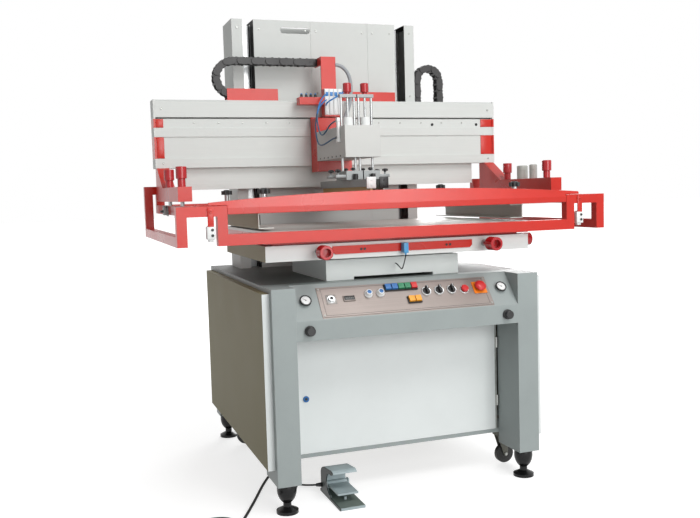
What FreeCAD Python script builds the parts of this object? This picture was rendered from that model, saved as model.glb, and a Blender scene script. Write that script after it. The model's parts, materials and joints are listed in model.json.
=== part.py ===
import FreeCAD, Part
import math
import os
import re
import Sketcher

# Flat-bed screen printing machine on a cabinet, as a parametric assembly of separate pieces.
# Millimetres: X runs to the operator's right, Y from the operator to the back, Z up from the floor.
# The origin is on the floor, under the middle of the machine without its leads.

Vector = FreeCAD.Vector
Rotation = FreeCAD.Rotation
Placement = FreeCAD.Placement

# Driving dimensions, in millimetres unless a name says degrees or count.
SIZES = {
    # cabinet
    "cabinet_width": 1000, "cabinet_depth": 1086, "cabinet_top": 767, "post_bottom": 102,
    "post_width": 82, "post_depth": 155, "rear_post_depth": 82, "rail_bottom": 142, "rail_height": 40,
    "sill_height": 14, "sill_depth": 40, "deck_sheet": 6, "panel_proud": 25.6, "panel_inset": 28,
    "panel_bottom": 155, "panel_top": 751, "panel_skin": 2, "floor_sheet": 2, "rear_panel_sheet": 3,
    # door
    "door_gap": 5, "door_lift": 0.6, "door_sheet": 22, "door_height": 423, "knuckle_radius": 5,
    "knuckle_length": 40, "knuckle_low": 248, "knuckle_high": 472, "lock_radius": 11, "lock_height": 354,
    "lock_inset": 64, "lock_proud": 4,
    # levelling feet and casters
    "foot_inset": 41, "foot_setback": 45, "pad_radius": 38, "pad_height": 15, "pad_neck": 14,
    "boss_radius": 34, "boss_middle": 82, "boss_half": 50, "boss_bottom": 36,
    "caster_inset": 60, "caster_setback": 200, "caster_plate": 62, "caster_plate_sheet": 5,
    "swivel_radius": 22, "swivel_height": 16, "fork_sheet": 3, "fork_width": 34, "trail": 24,
    "wheel_radius": 37, "wheel_width": 24, "wheel_lift": 4, "axle_radius": 4, "running_gap": 0.05,
    "clear_gap": 0.4,
    # console
    "apron_bottom": 587, "apron_top": 655, "console_run": 95, "console_sheet": 3, "plate_sheet": 2,
    "plate_half": 324, "plate_low": 8, "plate_high": 128, "stem_radius": 6, "stem_gap": 0.5,
    "stem_length": 24, "button_travel": 4, "square_cap": 21.5, "cap_height": 9, "button_pitch": 24.6,
    "jog_first": -64, "jog_row": 107, "yellow_first": 10.8, "yellow_row": 51.5,
    "dial_first": -141, "dial_pitch": 44.5, "dial_row": 87, "dial_radius": 12, "dial_height": 17,
    "selector_first": 77.4, "selector_pitch": 49.6, "selector_row": 82, "selector_radius": 14,
    "selector_height": 8, "grip_height": 12, "grip_width": 8, "stop_across": 227, "stop_row": 79.5,
    "stop_radius": 14, "estop_across": 288, "estop_row": 82, "estop_radius": 21, "estop_height": 16,
    "estop_plate": 50, "estop_plate_sheet": 3,
    "gauge_across": 372, "gauge_row": 75, "gauge_radius": 19.5, "gauge_height": 12,
    "counter_across": -214, "counter_row": 76, "counter_width": 42, "counter_depth": 22, "counter_height": 5,
    "key_across": -279, "key_row": 77, "key_radius": 11, "key_height": 9,
    "regulator_across": 373, "regulator_height": 622, "regulator_radius": 15, "regulator_length": 24,
    "regulator_collar": 18, "regulator_collar_length": 7,
    # printing table
    "pedestal_width": 517, "pedestal_front": 158, "pedestal_depth": 442, "pedestal_height": 73,
    "pedestal_slot": 310, "pedestal_slot_height": 10, "riser_inset": 50, "riser_height": 12,
    "table_width": 1000, "table_front": 61, "table_depth": 640, "skirt_height": 54, "skirt_wall": 3,
    "saddle_inset": 30, "saddle_height": 6, "table_height": 33, "top_plate_height": 10, "slide_gap": 0.3,
    "front_plate_width": 530, "front_plate_height": 28, "front_plate_sheet": 6, "front_plate_drop": 10,
    "front_plate_corner": 9, "knob_across": 316, "knob_drop": 25, "knob_radius": 24, "knob_length": 50,
    "knob_bore": 15, "knob_bore_depth": 22, "knob_out": 36, "shaft_radius": 6, "shaft_inside": 14,
    "bearing_radius": 12, "bearing_length": 10, "side_knob_setback": 90, "side_knob_standoff": 12,
    "side_knob_length": 40,
    # column
    "column_front": 863, "column_depth": 177, "column_width": 826, "column_top": 1812,
    "middle_cover_width": 640, "side_cover_width": 46, "cover_sheet": 2, "cover_return": 130,
    "seam_left": -71, "seam_right": 190, "seam_width": 2, "hand_hole_left": -203, "hand_hole_length": 130,
    "hand_hole_height": 26, "hand_hole_drop": 28, "guide_rail_width": 20, "guide_rail_depth": 18,
    "guide_rail_setback": 62, "lift_screw_radius": 16, "lift_screw_setback": 110, "lift_motor_radius": 65,
    "lift_motor_height": 190, "column_lap": 12,
    # head beam
    "beam_front": 769, "beam_depth": 84, "beam_overhang": 4, "beam_bottom": 1194, "low_ledge": 38,
    "main_face": 86, "high_ledge": 36, "rail_face": 36, "rail_recess": 6, "top_cover": 70,
    "face_set_back": 6, "ledge_set_back": 2, "recess_depth": 16, "cover_round": 8, "beam_wall": 8,
    "valance_gap": 50, "valance_height": 89, "valance_setback": 26, "valance_sheet": 4,
    "slide_block_width": 34, "slide_block_height": 180, "slide_block_rise": 46,
    # head arms
    "arm_lap": 8, "arm_width": 48, "arm_front": 224, "arm_bottom": 1062, "arm_height": 51,
    "gusset_front": 626, "gusset_rear": 815, "end_plate": 8,
    "adjuster_inset": 16, "adjuster_front": 292, "adjuster_rear": 602, "adjuster_radius": 19,
    "adjuster_height": 42, "adjuster_neck_radius": 14, "adjuster_neck": 28, "adjuster_screw": 7,
    # screen carrier
    "tube": 33, "carrier_front": 6, "carrier_half": 795, "carrier_bottom": 918, "carrier_top": 1046,
    "inner_post_inset": 130, "front_bar_height": 37, "carrier_rear": 925, "rear_post_top": 1123,
    "side_rail_inset": 80, "cross_rail_bottom": 1016, "front_rail_setback": 106, "rear_rail_setback": 742,
    "arch_crown": 1071, "arch_crease_crown": 1009, "arch_lip_crown": 994, "arch_shoulder": 1024,
    "arch_end_top": 1046, "arch_lip_end": 1013, "arch_sheet": 4, "arch_tilt_degrees": 24,
    "channel_across": 481.5, "channel_width": 53, "channel_height": 53, "channel_wall": 4,
    "channel_front": 110, "channel_length": 650, "channel_inward": 15, "channel_outward": 60,
    "clamp_stem": 5, "clamp_rise": 32, "clamp_hub": 12, "clamp_height": 20, "clamp_lobe": 7,
    "clamp_reach": 15,
    # carriage and print head
    "carriage_left": -112, "carriage_width": 151, "carriage_front": 685, "carriage_wall": 6,
    "carriage_bottom": 1166, "carriage_top": 1386, "beam_gap": 3, "runner_depth": 15, "runner_gap": 0.5,
    "mast_left": -67, "mast_width": 64, "mast_sheet": 8, "mast_top": 1645, "mast_front": 738,
    "valve_height": 108, "valve_depth": 34, "valve_width": 76, "valve_bottom": 1400,
    "tray_left": -175, "tray_depth": 44, "tray_bottom": 1443, "tray_height": 30, "tray_wall": 3,
    "head_width": 142, "head_front": 332, "head_bottom": 1209, "head_height": 119,
    "print_axis_y": 394, "squeegee_x": -77, "flood_x": -7, "rod_spread": 26, "rod_radius": 5,
    "piston_radius": 5, "piston_overlap": 8, "piston_travel": 62,
    "damper_depth": 478, "damper_radius": 23, "damper_height": 56,
    "buffer_depth": 393, "buffer_radius": 16, "buffer_height": 58, "damper_groove": 1.2, "damper_round": 3,
    "cylinder_radius": 19, "cylinder_height": 34, "yoke_bottom": 1437, "yoke_height": 12, "yoke_depth": 20,
    "stroke_knob_radius": 16, "stroke_knob_height": 42, "rod_seat": 8, "clamp_block_height": 34,
    "clamp_block_length": 120, "holder_bottom": 1096, "holder_height": 28, "holder_width": 30,
    "squeegee_front": 164, "squeegee_length": 551, "flood_front": 218, "flood_length": 480,
    "blade_width": 9, "blade_bottom": 1046, "flood_sheet": 3, "wing_knob_radius": 9, "wing_knob_length": 22,
    # cable chains
    "chain_pitch": 30, "chain_width": 44, "chain_plate": 4, "chain_eye": 14, "chain_bar": 8,
    "chain_bar_sheet": 3, "chain_play": 0.6, "chain_y": 805, "chain_upper": 1628, "chain_bend_x": -430,
    "chain_bend_radius": 69, "chain_tray_left": -459, "chain_tray_right": -245, "chain_tray_wall": 3,
    "chain_tray_height": 48, "stop_rail_left": -20, "stop_rail_right": 290, "stop_rail_sheet": 12,
    "stop_rail_height": 42, "lift_chain_gap": 24, "lift_chain_radius": 55, "lift_chain_y": 901,
    "lift_chain_bend": 1575, "lift_chain_foot": 1330, "lift_bracket": 6,
    # foot pedal
    "pedal_left": -293, "pedal_width": 92, "pedal_front": -23, "pedal_length": 224, "pedal_base": 9,
    "pedal_top": 112, "hood_front": 45, "hood_rear": 190, "hood_wall": 5, "hood_round": 34,
    "hood_lip": 44, "hood_drop": 26, "hood_scoop": 40, "stop_height": 11, "stop_setback": 34,
    "treadle_hinge_y": 152, "treadle_hinge_z": 40, "treadle_front": 22, "treadle_sheet": 6,
    "treadle_side_gap": 9, "treadle_pin": 5, "treadle_heel": 48,
    # leads
    "mains_diameter": 10, "gland_radius": 11, "gland_length": 22, "mains_gland_x": -300,
    "mains_gland_y": 650,
    "pedal_lead_diameter": 7, "pedal_gland_x": -402, "pedal_gland_y": 470,
    "coil_outer_radius": 73, "coil_inner_radius": 40, "coil_layer": 10.6, "coil_blend": 0.15,
    "coil_end_degrees": -65, "coil_tail": 38,
    "plug_length": 58, "plug_radius": 15, "plug_neck": 8, "plug_pin_length": 20, "plug_pin_radius": 2.4,
    "plug_pin_spread": 9.5,
}

# Places worked out from the driving dimensions.
PLACES = {
    "front": "(knob_out - cabinet_depth)/2",
    "back": "front + cabinet_depth",
    "half": "cabinet_width/2",
    "post_inner": "half - post_width",
    "rise": "cabinet_top - apron_top",
    "slant": "sqrt(console_run^2 + rise^2)",
    "slope_run": "console_run/slant",
    "slope_rise": "rise/slant",
    "door_edge": "post_inner - door_gap",
    "door_front": "front + post_depth",
    "door_bottom": "rail_bottom + sill_height + door_lift",
    "table_face": "front + table_front",
    "table_back": "table_face + table_depth",
    "skirt_bottom": "cabinet_top + pedestal_height + riser_height",
    "skirt_top": "skirt_bottom + skirt_height",
    "saddle_bottom": "skirt_top + slide_gap",
    "table_bottom": "saddle_bottom + saddle_height + slide_gap",
    "plate_bottom": "table_bottom + table_height",
    "table_top": "plate_bottom + top_plate_height",
    "knob_z": "skirt_top - knob_drop",
    "column_face": "front + column_front",
    "column_back": "column_face + column_depth",
    "slot_across": "(middle_cover_width/2 + column_width/2 - side_cover_width)/2",
    "guide_face": "column_face + guide_rail_setback",
    "piston_foot": "head_top + cylinder_height - piston_overlap",
    "rod_foot": "holder_bottom + holder_height + clamp_block_height - rod_seat",
    "beam_face": "front + beam_front",
    "beam_back": "beam_face + beam_depth",
    "recess_bottom": "beam_bottom + low_ledge + main_face + high_ledge + rail_face",
    "beam_top": "recess_bottom + rail_recess + top_cover",
    "arm_top": "arm_bottom + arm_height",
    "carrier_face": "front + carrier_front",
    "carrier_back": "front + carrier_rear",
    "side_rail_inner": "carrier_half - side_rail_inset",
    "inner_post_outer": "carrier_half - inner_post_inset",
    "inner_post_inner": "inner_post_outer - tube",
    "adjuster_across": "side_rail_inner + adjuster_inset",
    "arm_inner": "side_rail_inner - arm_lap",
    "beam_half": "side_rail_inner + tube + beam_overhang",
    "valance_half": "arm_inner - valance_gap",
    "front_rail": "front + front_rail_setback",
    "rear_rail": "front + rear_rail_setback",
    "rail_top": "cross_rail_bottom + tube",
    "channel_top": "cross_rail_bottom",
    "print_y": "front + print_axis_y",
    "head_face": "front + head_front",
    "carriage_face": "front + carriage_front",
    "carriage_back": "beam_face - beam_gap",
    "head_top": "head_bottom + head_height",
    "pedal_face": "front + pedal_front",
    "pedal_right": "pedal_left + pedal_width",
    "floor_top": "rail_bottom + rail_height + floor_sheet",
    "gland_bottom": "rail_bottom + rail_height - gland_length",
    "caster_x": "half - caster_inset",
    "swivel_top": "rail_bottom - caster_plate_sheet",
    "wheel_z": "wheel_lift + wheel_radius",
    "chain_lower": "chain_upper - 2*chain_bend_radius",
    "lift_chain_left": "column_width/2 + lift_chain_gap",
}

ROUTE_MAINS = (
    (-300, 650, 160), (-300, 650, 114), (-305, 626, 58), (-322, 580, 18), (-352, 528, 5.2), (-412, 452, 5.2),
    (-474, 335, 5.2), (-530, 206, 5.2), (-583, 92, 5.2), (-622, 12, 5.2), (-648, -50, 5.2),
)
ROUTE_PEDAL = (
    (-402, 470, 160), (-402, 470, 120), (-403, 453, 70), (-404, 420, 30), (-401, 375, 7), (-385, 328, 4.5),
    (-360, 284, 5.5), (-335, 242, 12), (-317, 205, 22), (-296, 182, 28),
)

doc = FreeCAD.newDocument("screen_printing_machine")
sheet = doc.addObject("Spreadsheet::Sheet", "Sizes")
places = doc.addObject("App::VarSet", "Places")
NODES = []


def bound(text):
    """The expression with each size and place written as a reference to its document object."""
    def named(match):
        word = match.group(0)
        if word in SIZES:
            return "Sizes." + word
        return "Places." + word if word in PLACES else word
    return re.sub(r"[A-Za-z_][A-Za-z_0-9]*", named, str(text))


def fill_sheet():
    """Write the driving dimensions into the sheet and bind the places to them."""
    for row, (alias, value) in enumerate(SIZES.items(), start=1):
        sheet.set(f"A{row}", alias)
        sheet.set(f"B{row}", str(value))
        sheet.setAlias(f"B{row}", alias)
    doc.recompute()
    for name, text in PLACES.items():
        places.addProperty("App::PropertyFloat", name, "Places")
        places.setExpression(name, bound(text))
    doc.recompute()


def size(name):
    """The present value of a driving dimension or a place."""
    return float(getattr(places, name) if name in PLACES else sheet.get(name))


def keep(item, label):
    """Make an object one of the machine's named pieces."""
    item.Label = label
    NODES.append(item)
    return item


def bind(item, **texts):
    """Bind an object's properties to expressions."""
    for name, text in texts.items():
        item.setExpression(name, bound(text))
    return item


def put(item, x="0", y="0", z="0", turn=None):
    """Bind an object's position, with an optional turn given first."""
    if turn is not None:
        item.Placement = Placement(Vector(), turn)
    for axis, text in zip("xyz", (x, y, z)):
        item.setExpression("Placement.Base." + axis, bound(text))
    return item


TURN = {
    "+z": Rotation(),
    "-z": Rotation(Vector(1, 0, 0), 180),
    "+y": Rotation(Vector(1, 0, 0), -90),
    "-y": Rotation(Vector(1, 0, 0), 90),
    "+x": Rotation(Vector(0, 1, 0), 90),
    "-x": Rotation(Vector(0, 1, 0), -90),
}


def box(x, y, z):
    """A block between pairs of coordinates."""
    item = doc.addObject("Part::Box", "Block")
    bind(item, Length=f"({x[1]}) - ({x[0]})", Width=f"({y[1]}) - ({y[0]})", Height=f"({z[1]}) - ({z[0]})")
    return put(item, x[0], y[0], z[0])


def sided(side, near, far):
    """A pair of X coordinates on one side of the machine, the lower one first."""
    return (near, far) if side > 0 else (f"-({far})", f"-({near})")


def rod(radius, length, at, way="+z"):
    """A round bar from a point along a way."""
    item = doc.addObject("Part::Cylinder", "Bar")
    bind(item, Radius=radius, Height=length)
    return put(item, *at, turn=TURN[way])


def join(parts):
    """One solid made of several."""
    item = doc.addObject("Part::MultiFuse", "Joined")
    item.Shapes = parts
    item.Refine = True
    return item


def group(parts):
    """Several solids kept together."""
    item = doc.addObject("Part::Compound", "Group")
    item.Links = parts
    return item


def cut(base, *tools):
    """A solid with others taken out of it."""
    item = doc.addObject("Part::Cut", "Cut")
    item.Base = base
    item.Tool = tools[0] if len(tools) == 1 else join(list(tools))
    return item


def plane(body, role):
    """One of the body's own origin planes."""
    return next(f for f in body.Origin.OriginFeatures if f.Role == role)


def start_sketch(body, role):
    """A new sketch on one of a body's planes."""
    sketch = body.newObject("Sketcher::SketchObject", "Outline")
    sketch.AttachmentSupport = [(plane(body, role), "")]
    sketch.MapMode = "FlatFace"
    return sketch


def pin_point(sketch, edge, end, across, up):
    """Hold one end of a sketch's edge at bound coordinates."""
    spot = sketch.getPoint(edge, end)
    for kind, text, now in (("DistanceX", across, spot.x), ("DistanceY", up, spot.y)):
        number = sketch.addConstraint(Sketcher.Constraint(kind, -1, 1, edge, end, now))
        sketch.setExpression(f"Constraints[{number}]", bound(text))


FIRST_GUESS = 50  # radius on which a sketch's corners start before their constraints place them


def polygon(sketch, points):
    """A closed outline of straight edges through bound points."""
    count = len(points)
    turns = [2 * math.pi * i / count for i in range(count)]
    ring = [Vector(FIRST_GUESS * math.cos(turn), FIRST_GUESS * math.sin(turn), 0) for turn in turns]
    edges = [sketch.addGeometry(Part.LineSegment(ring[i], ring[(i + 1) % count])) for i in range(count)]
    for i, edge in enumerate(edges):
        sketch.addConstraint(Sketcher.Constraint("Coincident", edge, 2, edges[(i + 1) % count], 1))
        pin_point(sketch, edge, 1, *points[i])


def circle(sketch, across, up, radius):
    """A bound circle."""
    edge = sketch.addGeometry(Part.Circle(Vector(10, 10, 0), Vector(0, 0, 1), 5))
    pin_point(sketch, edge, 3, across, up)
    number = sketch.addConstraint(Sketcher.Constraint("Radius", edge, 5.0))
    sketch.setExpression(f"Constraints[{number}]", bound(radius))


def pad(body, sketch, length, both_ways=False):
    """Thicken a sketch, along its normal or half each way."""
    feature = body.newObject("PartDesign::Pad", "Pad")
    feature.Profile = sketch
    feature.setExpression("Length", bound(length))
    if both_ways:
        feature.SideType = "Symmetric"
    return feature


def profile_bar(name, points, length, x="0"):
    """A bar with a profile in Y and Z, run along X about its middle."""
    body = doc.addObject("PartDesign::Body", name)
    sketch = start_sketch(body, "YZ_Plane")
    polygon(sketch, points)
    pad(body, sketch, length, both_ways=True)
    return put(body, x)


def turned(name, points):
    """A body turned about its own Z axis from (radius, height) points."""
    body = doc.addObject("PartDesign::Body", name)
    sketch = start_sketch(body, "XZ_Plane")
    polygon(sketch, points)
    feature = body.newObject("PartDesign::Revolution", "Turned")
    feature.Profile = sketch
    feature.ReferenceAxis = (sketch, ["V_Axis"])
    feature.Angle = 360
    return body


def solid(item, shape, placement=None):
    """Set the shape of a free-form feature, then its place."""
    item.Shape = shape
    item.Placement = placement or Placement()
    return item


# Cabinet


def build_cabinet():
    """Posts, rails, deck, caster plates, skins and floor."""
    rail_top_z = "rail_bottom + rail_height"
    members = []
    for side in (-1, 1):
        across = sided(side, "post_inner", "half")
        members += [
            box(across, ("front", "front + post_depth"), ("post_bottom", "cabinet_top")),
            box(across, ("back - rear_post_depth", "back"), ("post_bottom", "cabinet_top")),
            box(across, ("front + post_depth", "back - rear_post_depth"), ("rail_bottom", rail_top_z)),
            box(across, ("front + post_depth", "back - rear_post_depth"),
                ("cabinet_top - rail_height", "cabinet_top")),
        ]
    between = ("-post_inner", "post_inner")
    sill_back = "front + post_depth + sill_depth"
    members += [
        box(between, ("front + post_depth", sill_back), ("rail_bottom", "rail_bottom + sill_height")),
        box(between, ("back - sill_depth", "back"), ("rail_bottom", rail_top_z)),
        box(between, ("back - sill_depth", "back"), ("cabinet_top - rail_height", "cabinet_top")),
        box(between, ("front + post_depth", "back - sill_depth"),
            ("cabinet_top - deck_sheet", "cabinet_top")),
        box(between, ("door_front - door_sheet", "door_front"),
            ("door_bottom + door_height + door_gap", "cabinet_top - console_sheet")),
    ]
    plates = []
    for side, y in caster_places():
        middle = "caster_x" if side > 0 else "-caster_x"
        plates.append(box((f"{middle} - caster_plate/2", f"{middle} + caster_plate/2"),
                          (f"{y} - caster_plate/2", f"{y} + caster_plate/2"), ("swivel_top", "rail_bottom")))
    keep(group([join(members)] + plates + levelling_feet()), "cabinet_frame")

    skins = []
    for side in (-1, 1):
        tray = box(sided(side, "half", "half + panel_proud"),
                   ("front + panel_inset", "back - panel_inset"), ("panel_bottom", "panel_top"))
        hollow = box(sided(side, "half", "half + panel_proud - panel_skin"),
                     ("front + panel_inset + panel_skin", "back - panel_inset - panel_skin"),
                     ("panel_bottom + panel_skin", "panel_top - panel_skin"))
        skins.append(cut(tray, hollow))
    rear = box(between, ("back - rear_panel_sheet", "back"), (rail_top_z, "cabinet_top - rail_height"))
    floor = box(("-post_inner - rail_height", "post_inner + rail_height"),
                ("front + post_depth + sill_depth", "back - rear_post_depth - clear_gap"),
                (rail_top_z, "floor_top"))
    glands = [rod("gland_radius", "gland_length", (f"{lead}_gland_x", f"front + {lead}_gland_y",
                                                   "gland_bottom"))
              for lead in ("mains", "pedal")]
    keep(group(skins + [rear, floor] + glands), "cabinet_panels")


def caster_places():
    """Side and depth of each caster."""
    depths = ("(front + caster_setback)", "(back - caster_setback)")
    return [(side, depth) for depth in depths for side in (-1, 1)]


def corner_name(index):
    """Plain name of a corner, front ones first and left before right."""
    return ("front_left", "front_right", "rear_left", "rear_right")[index]


def levelling_feet():
    """Four levelling feet: a flat pad, a neck and an egg-shaped boss under the post."""
    feet = []
    for y in ("front + foot_setback", "back - foot_setback"):
        for side in (-1, 1):
            x = f"{side}*(half - foot_inset)"
            pad_and_neck = turned("Foot", [
                ("0", "0"), ("pad_radius", "0"), ("pad_radius", "pad_height*0.7"),
                ("pad_radius*0.75", "pad_height"),
                ("pad_neck", "pad_height*1.5"), ("pad_neck", "boss_bottom + 6"), ("0", "boss_bottom + 6")])
            boss = doc.addObject("Part::Ellipsoid", "Boss")
            bind(boss, Radius1="boss_half", Radius2="boss_radius", Radius3="boss_radius",
                 Angle1="asin((boss_bottom - boss_middle)/boss_half)",
                 Angle2="asin((post_bottom - boss_middle)/boss_half)")
            feet.append(join([put(pad_and_neck, x, y), put(boss, x, y, "boss_middle")]))
    return feet


def fork_cheek(x, y, top):
    """One tapered side of a caster's fork, round about the axle."""
    body = doc.addObject("PartDesign::Body", "Cheek")
    sketch = start_sketch(body, "XZ_Plane")
    polygon(sketch, [("-swivel_radius*0.5", f"{top} - fork_sheet/2"), ("trail - axle_radius*2.2", "wheel_z"),
                     ("trail + axle_radius*2.2", "wheel_z"),
                     ("trail + axle_radius*3", f"{top} - fork_sheet/2")])
    pad(body, sketch, "fork_sheet", both_ways=True)
    eye = rod("axle_radius*2.2", "fork_sheet", (f"{x} + trail", f"{y} - fork_sheet/2", "wheel_z"), "+y")
    return join([put(body, x, y), eye])


def build_casters():
    """Four swivel casters, each a fork and a wheel."""
    for index, (side, y) in enumerate(caster_places()):
        name = corner_name(index)
        x = f"{side}*caster_x"
        head_z = "swivel_top - clear_gap - swivel_height"
        swivel = rod("swivel_radius", "swivel_height", (x, y, head_z))
        crown = box((f"{x} - swivel_radius*0.6", f"{x} + trail + axle_radius*3"),
                    (f"{y} - fork_width/2", f"{y} + fork_width/2"), (f"{head_z} - fork_sheet", head_z))
        cheeks = [fork_cheek(x, f"{y} + ({middle})", head_z)
                  for middle in ("fork_sheet/2 - fork_width/2", "fork_width/2 - fork_sheet/2")]
        axle = rod("axle_radius", "fork_width", (f"{x} + trail", f"{y} - fork_width/2", "wheel_z"), "+y")
        keep(join([swivel, crown, axle] + cheeks), f"caster_fork_{name}")
        half_tread = "wheel_width/2"
        wheel = turned("Wheel", [
            ("axle_radius + running_gap", f"-{half_tread}"), ("wheel_radius*0.55", f"-{half_tread}"),
            ("wheel_radius*0.62", f"1.5 - {half_tread}"), ("wheel_radius - 2", f"1.5 - {half_tread}"),
            ("wheel_radius", f"4 - {half_tread}"), ("wheel_radius", f"{half_tread} - 4"),
            ("wheel_radius - 2", f"{half_tread} - 1.5"), ("wheel_radius*0.62", f"{half_tread} - 1.5"),
            ("wheel_radius*0.55", half_tread), ("axle_radius + running_gap", half_tread)])
        keep(put(wheel, f"{x} + trail", y, "wheel_z", TURN["+y"]), f"caster_wheel_{name}")


def build_door():
    """Hinged front door with its two hinge knuckles and a round lock."""
    leaf = box(("-door_edge", "door_edge"), ("door_front", "door_front + door_sheet"),
               ("door_bottom", "door_bottom + door_height"))
    knuckles = [rod("knuckle_radius", "knuckle_length",
                    ("door_edge - 1", "door_front - knuckle_radius + 2", low))
                for low in ("knuckle_low", "knuckle_high")]
    lock = rod("lock_radius", "lock_proud + door_sheet/2",
               ("lock_inset - door_edge", "door_front - lock_proud", "lock_height"), "+y")
    keep(join([leaf, lock] + knuckles), "cabinet_door")


# Console and its controls


def tilt():
    """The turn that stands a control square to the sloped panel."""
    return Rotation(Vector(1, 0, 0), math.degrees(math.atan2(size("rise"), size("console_run"))))


def on_panel(item, across, row, above="0"):
    """Stand an object on the sloped panel, at a row measured up the slope."""
    y = f"front + ({row})*slope_run - ({above})*slope_rise"
    z = f"apron_top + ({row})*slope_rise + ({above})*slope_run"
    return put(item, across, y, z, tilt())


def panel_bar(radius, length, across, row, above):
    """A round bar standing square to the panel."""
    item = doc.addObject("Part::Cylinder", "Bar")
    bind(item, Radius=radius, Height=length)
    return on_panel(item, across, row, above)


def panel_block(width, depth, height, across, row, above):
    """A block standing on the panel, its lower edge at a row."""
    item = doc.addObject("Part::Box", "Block")
    bind(item, Length=width, Width=depth, Height=height)
    return on_panel(item, f"({across}) - ({width})/2", row, above)


def control_places():
    """Name, kind, place across and row of every control that moves on the sloped panel."""
    colours = ("blue_left", "blue_right", "green_left", "green_right", "red")
    rows = [(f"jog_button_{colour}", "square", f"(jog_first + {i}*button_pitch)", "jog_row")
            for i, colour in enumerate(colours)]
    rows += [(f"cycle_button_{side}", "square", f"(yellow_first + {i}*button_pitch)", "yellow_row")
             for i, side in enumerate(("left", "right"))]
    rows += [(f"timer_dial_{side}", "dial", f"(dial_first + {i}*dial_pitch)", "dial_row")
             for i, side in enumerate(("left", "right"))]
    rows += [(f"selector_{side}", "selector", f"(selector_first + {i}*selector_pitch)", "selector_row")
             for i, side in enumerate(("left", "middle", "right"))]
    rows += [("stop_button", "round", "stop_across", "stop_row"),
             ("emergency_stop", "mushroom", "estop_across", "estop_row")]
    return rows


def build_console():
    """Folded apron and sloped panel, its face plate, gauges, counter and key switch."""
    inner_bend = "apron_top - console_sheet*(slant - rise)/console_run"
    inner_top = "console_run + console_sheet*(slant - console_run)/rise"
    sheet_bar = profile_bar("Console", [
        ("front", "apron_bottom"), ("front + console_sheet", "apron_bottom"),
        ("front + console_sheet", inner_bend),
        (f"front + {inner_top}", "cabinet_top - console_sheet"),
        ("front + post_depth", "cabinet_top - console_sheet"), ("front + post_depth", "cabinet_top"),
        ("front + console_run", "cabinet_top"), ("front", "apron_top")], "2*post_inner")
    deep = "stem_length + plate_sheet + estop_plate_sheet + 20"
    holes = [panel_bar("stem_radius + stem_gap", deep, across, row, "-stem_length - 10")
             for _, _, across, row in control_places()]
    plate = panel_block("2*plate_half", "plate_high - plate_low", "plate_sheet", "0", "plate_low", "0")
    backing = panel_block("estop_plate", "estop_plate", "estop_plate_sheet", "estop_across",
                          "estop_row - estop_plate/2", "plate_sheet")
    drilled = [cut(base, join(holes)) for base in (sheet_bar, plate)]
    drilled.append(cut(backing, panel_bar("stem_radius + stem_gap", deep, "estop_across", "estop_row",
                                          "-stem_length - 10")))
    gauges = [panel_bar("gauge_radius", "gauge_height", f"{side}*gauge_across", "gauge_row", "0")
              for side in (-1, 1)]
    counter = panel_block("counter_width", "counter_depth", "counter_height", "counter_across",
                          "counter_row - counter_depth/2", "plate_sheet")
    key = panel_bar("key_radius", "key_height", "key_across", "key_row", "plate_sheet")
    keep(group(drilled + gauges + [counter, key]), "control_panel")


def build_controls():
    """Every push button, dial and selector of the sloped panel."""
    for name, kind, across, row in control_places():
        keep(CONTROL_MAKERS[kind](across, row), name)


def pushed(cap, across, row, base):
    """A cap on a stem that slides through the panel."""
    stem = panel_bar("stem_radius", f"stem_length + {base} + 1", across, row, "-stem_length")
    return join([cap, stem])


def square_button(across, row):
    """Square cap that stands one travel above the face plate."""
    base = "plate_sheet + button_travel + clear_gap"
    cap = panel_block("square_cap", "square_cap", "cap_height", across, f"({row}) - square_cap/2", base)
    return pushed(cap, across, row, base)


def round_button(across, row):
    """Round domed cap that stands one travel above the face plate."""
    base = "plate_sheet + button_travel + clear_gap"
    cap = turned("Cap", [("0", "0"), ("stop_radius", "0"), ("stop_radius", "cap_height*0.7"),
                         ("stop_radius*0.8", "cap_height"), ("0", "cap_height")])
    return pushed(on_panel(cap, across, row, base), across, row, base)


def mushroom_button(across, row):
    """Mushroom head above its backing plate."""
    base = "plate_sheet + estop_plate_sheet + button_travel + clear_gap"
    head = turned("Mushroom", [
        ("0", "0"), ("estop_radius*0.6", "0"), ("estop_radius", "estop_height*0.35"),
        ("estop_radius", "estop_height*0.6"), ("estop_radius*0.72", "estop_height*0.93"),
        ("estop_radius*0.3", "estop_height"), ("0", "estop_height")])
    return pushed(on_panel(head, across, row, base), across, row, base)


def timer_dial(across, row):
    """Skirted round knob."""
    base = "plate_sheet + clear_gap"
    knob = turned("Dial", [
        ("0", "0"), ("dial_radius*1.2", "0"), ("dial_radius*1.2", "dial_height*0.2"),
        ("dial_radius", "dial_height*0.35"), ("dial_radius*0.9", "dial_height*0.92"),
        ("dial_radius*0.75", "dial_height"), ("0", "dial_height")])
    return pushed(on_panel(knob, across, row, base), across, row, base)


def selector(across, row):
    """Round selector with a bar grip across its face."""
    base = "plate_sheet + clear_gap"
    disc = turned("Selector", [("0", "0"), ("selector_radius", "0"),
                               ("selector_radius", "selector_height*0.8"),
                               ("selector_radius*0.9", "selector_height"), ("0", "selector_height")])
    grip = panel_block("grip_width", "2*selector_radius", "grip_height", across,
                       f"({row}) - selector_radius", f"{base} + selector_height - 0.5")
    return pushed(join([on_panel(disc, across, row, base), grip]), across, row, base)


CONTROL_MAKERS = {"square": square_button, "round": round_button, "mushroom": mushroom_button,
                  "dial": timer_dial, "selector": selector}


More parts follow.
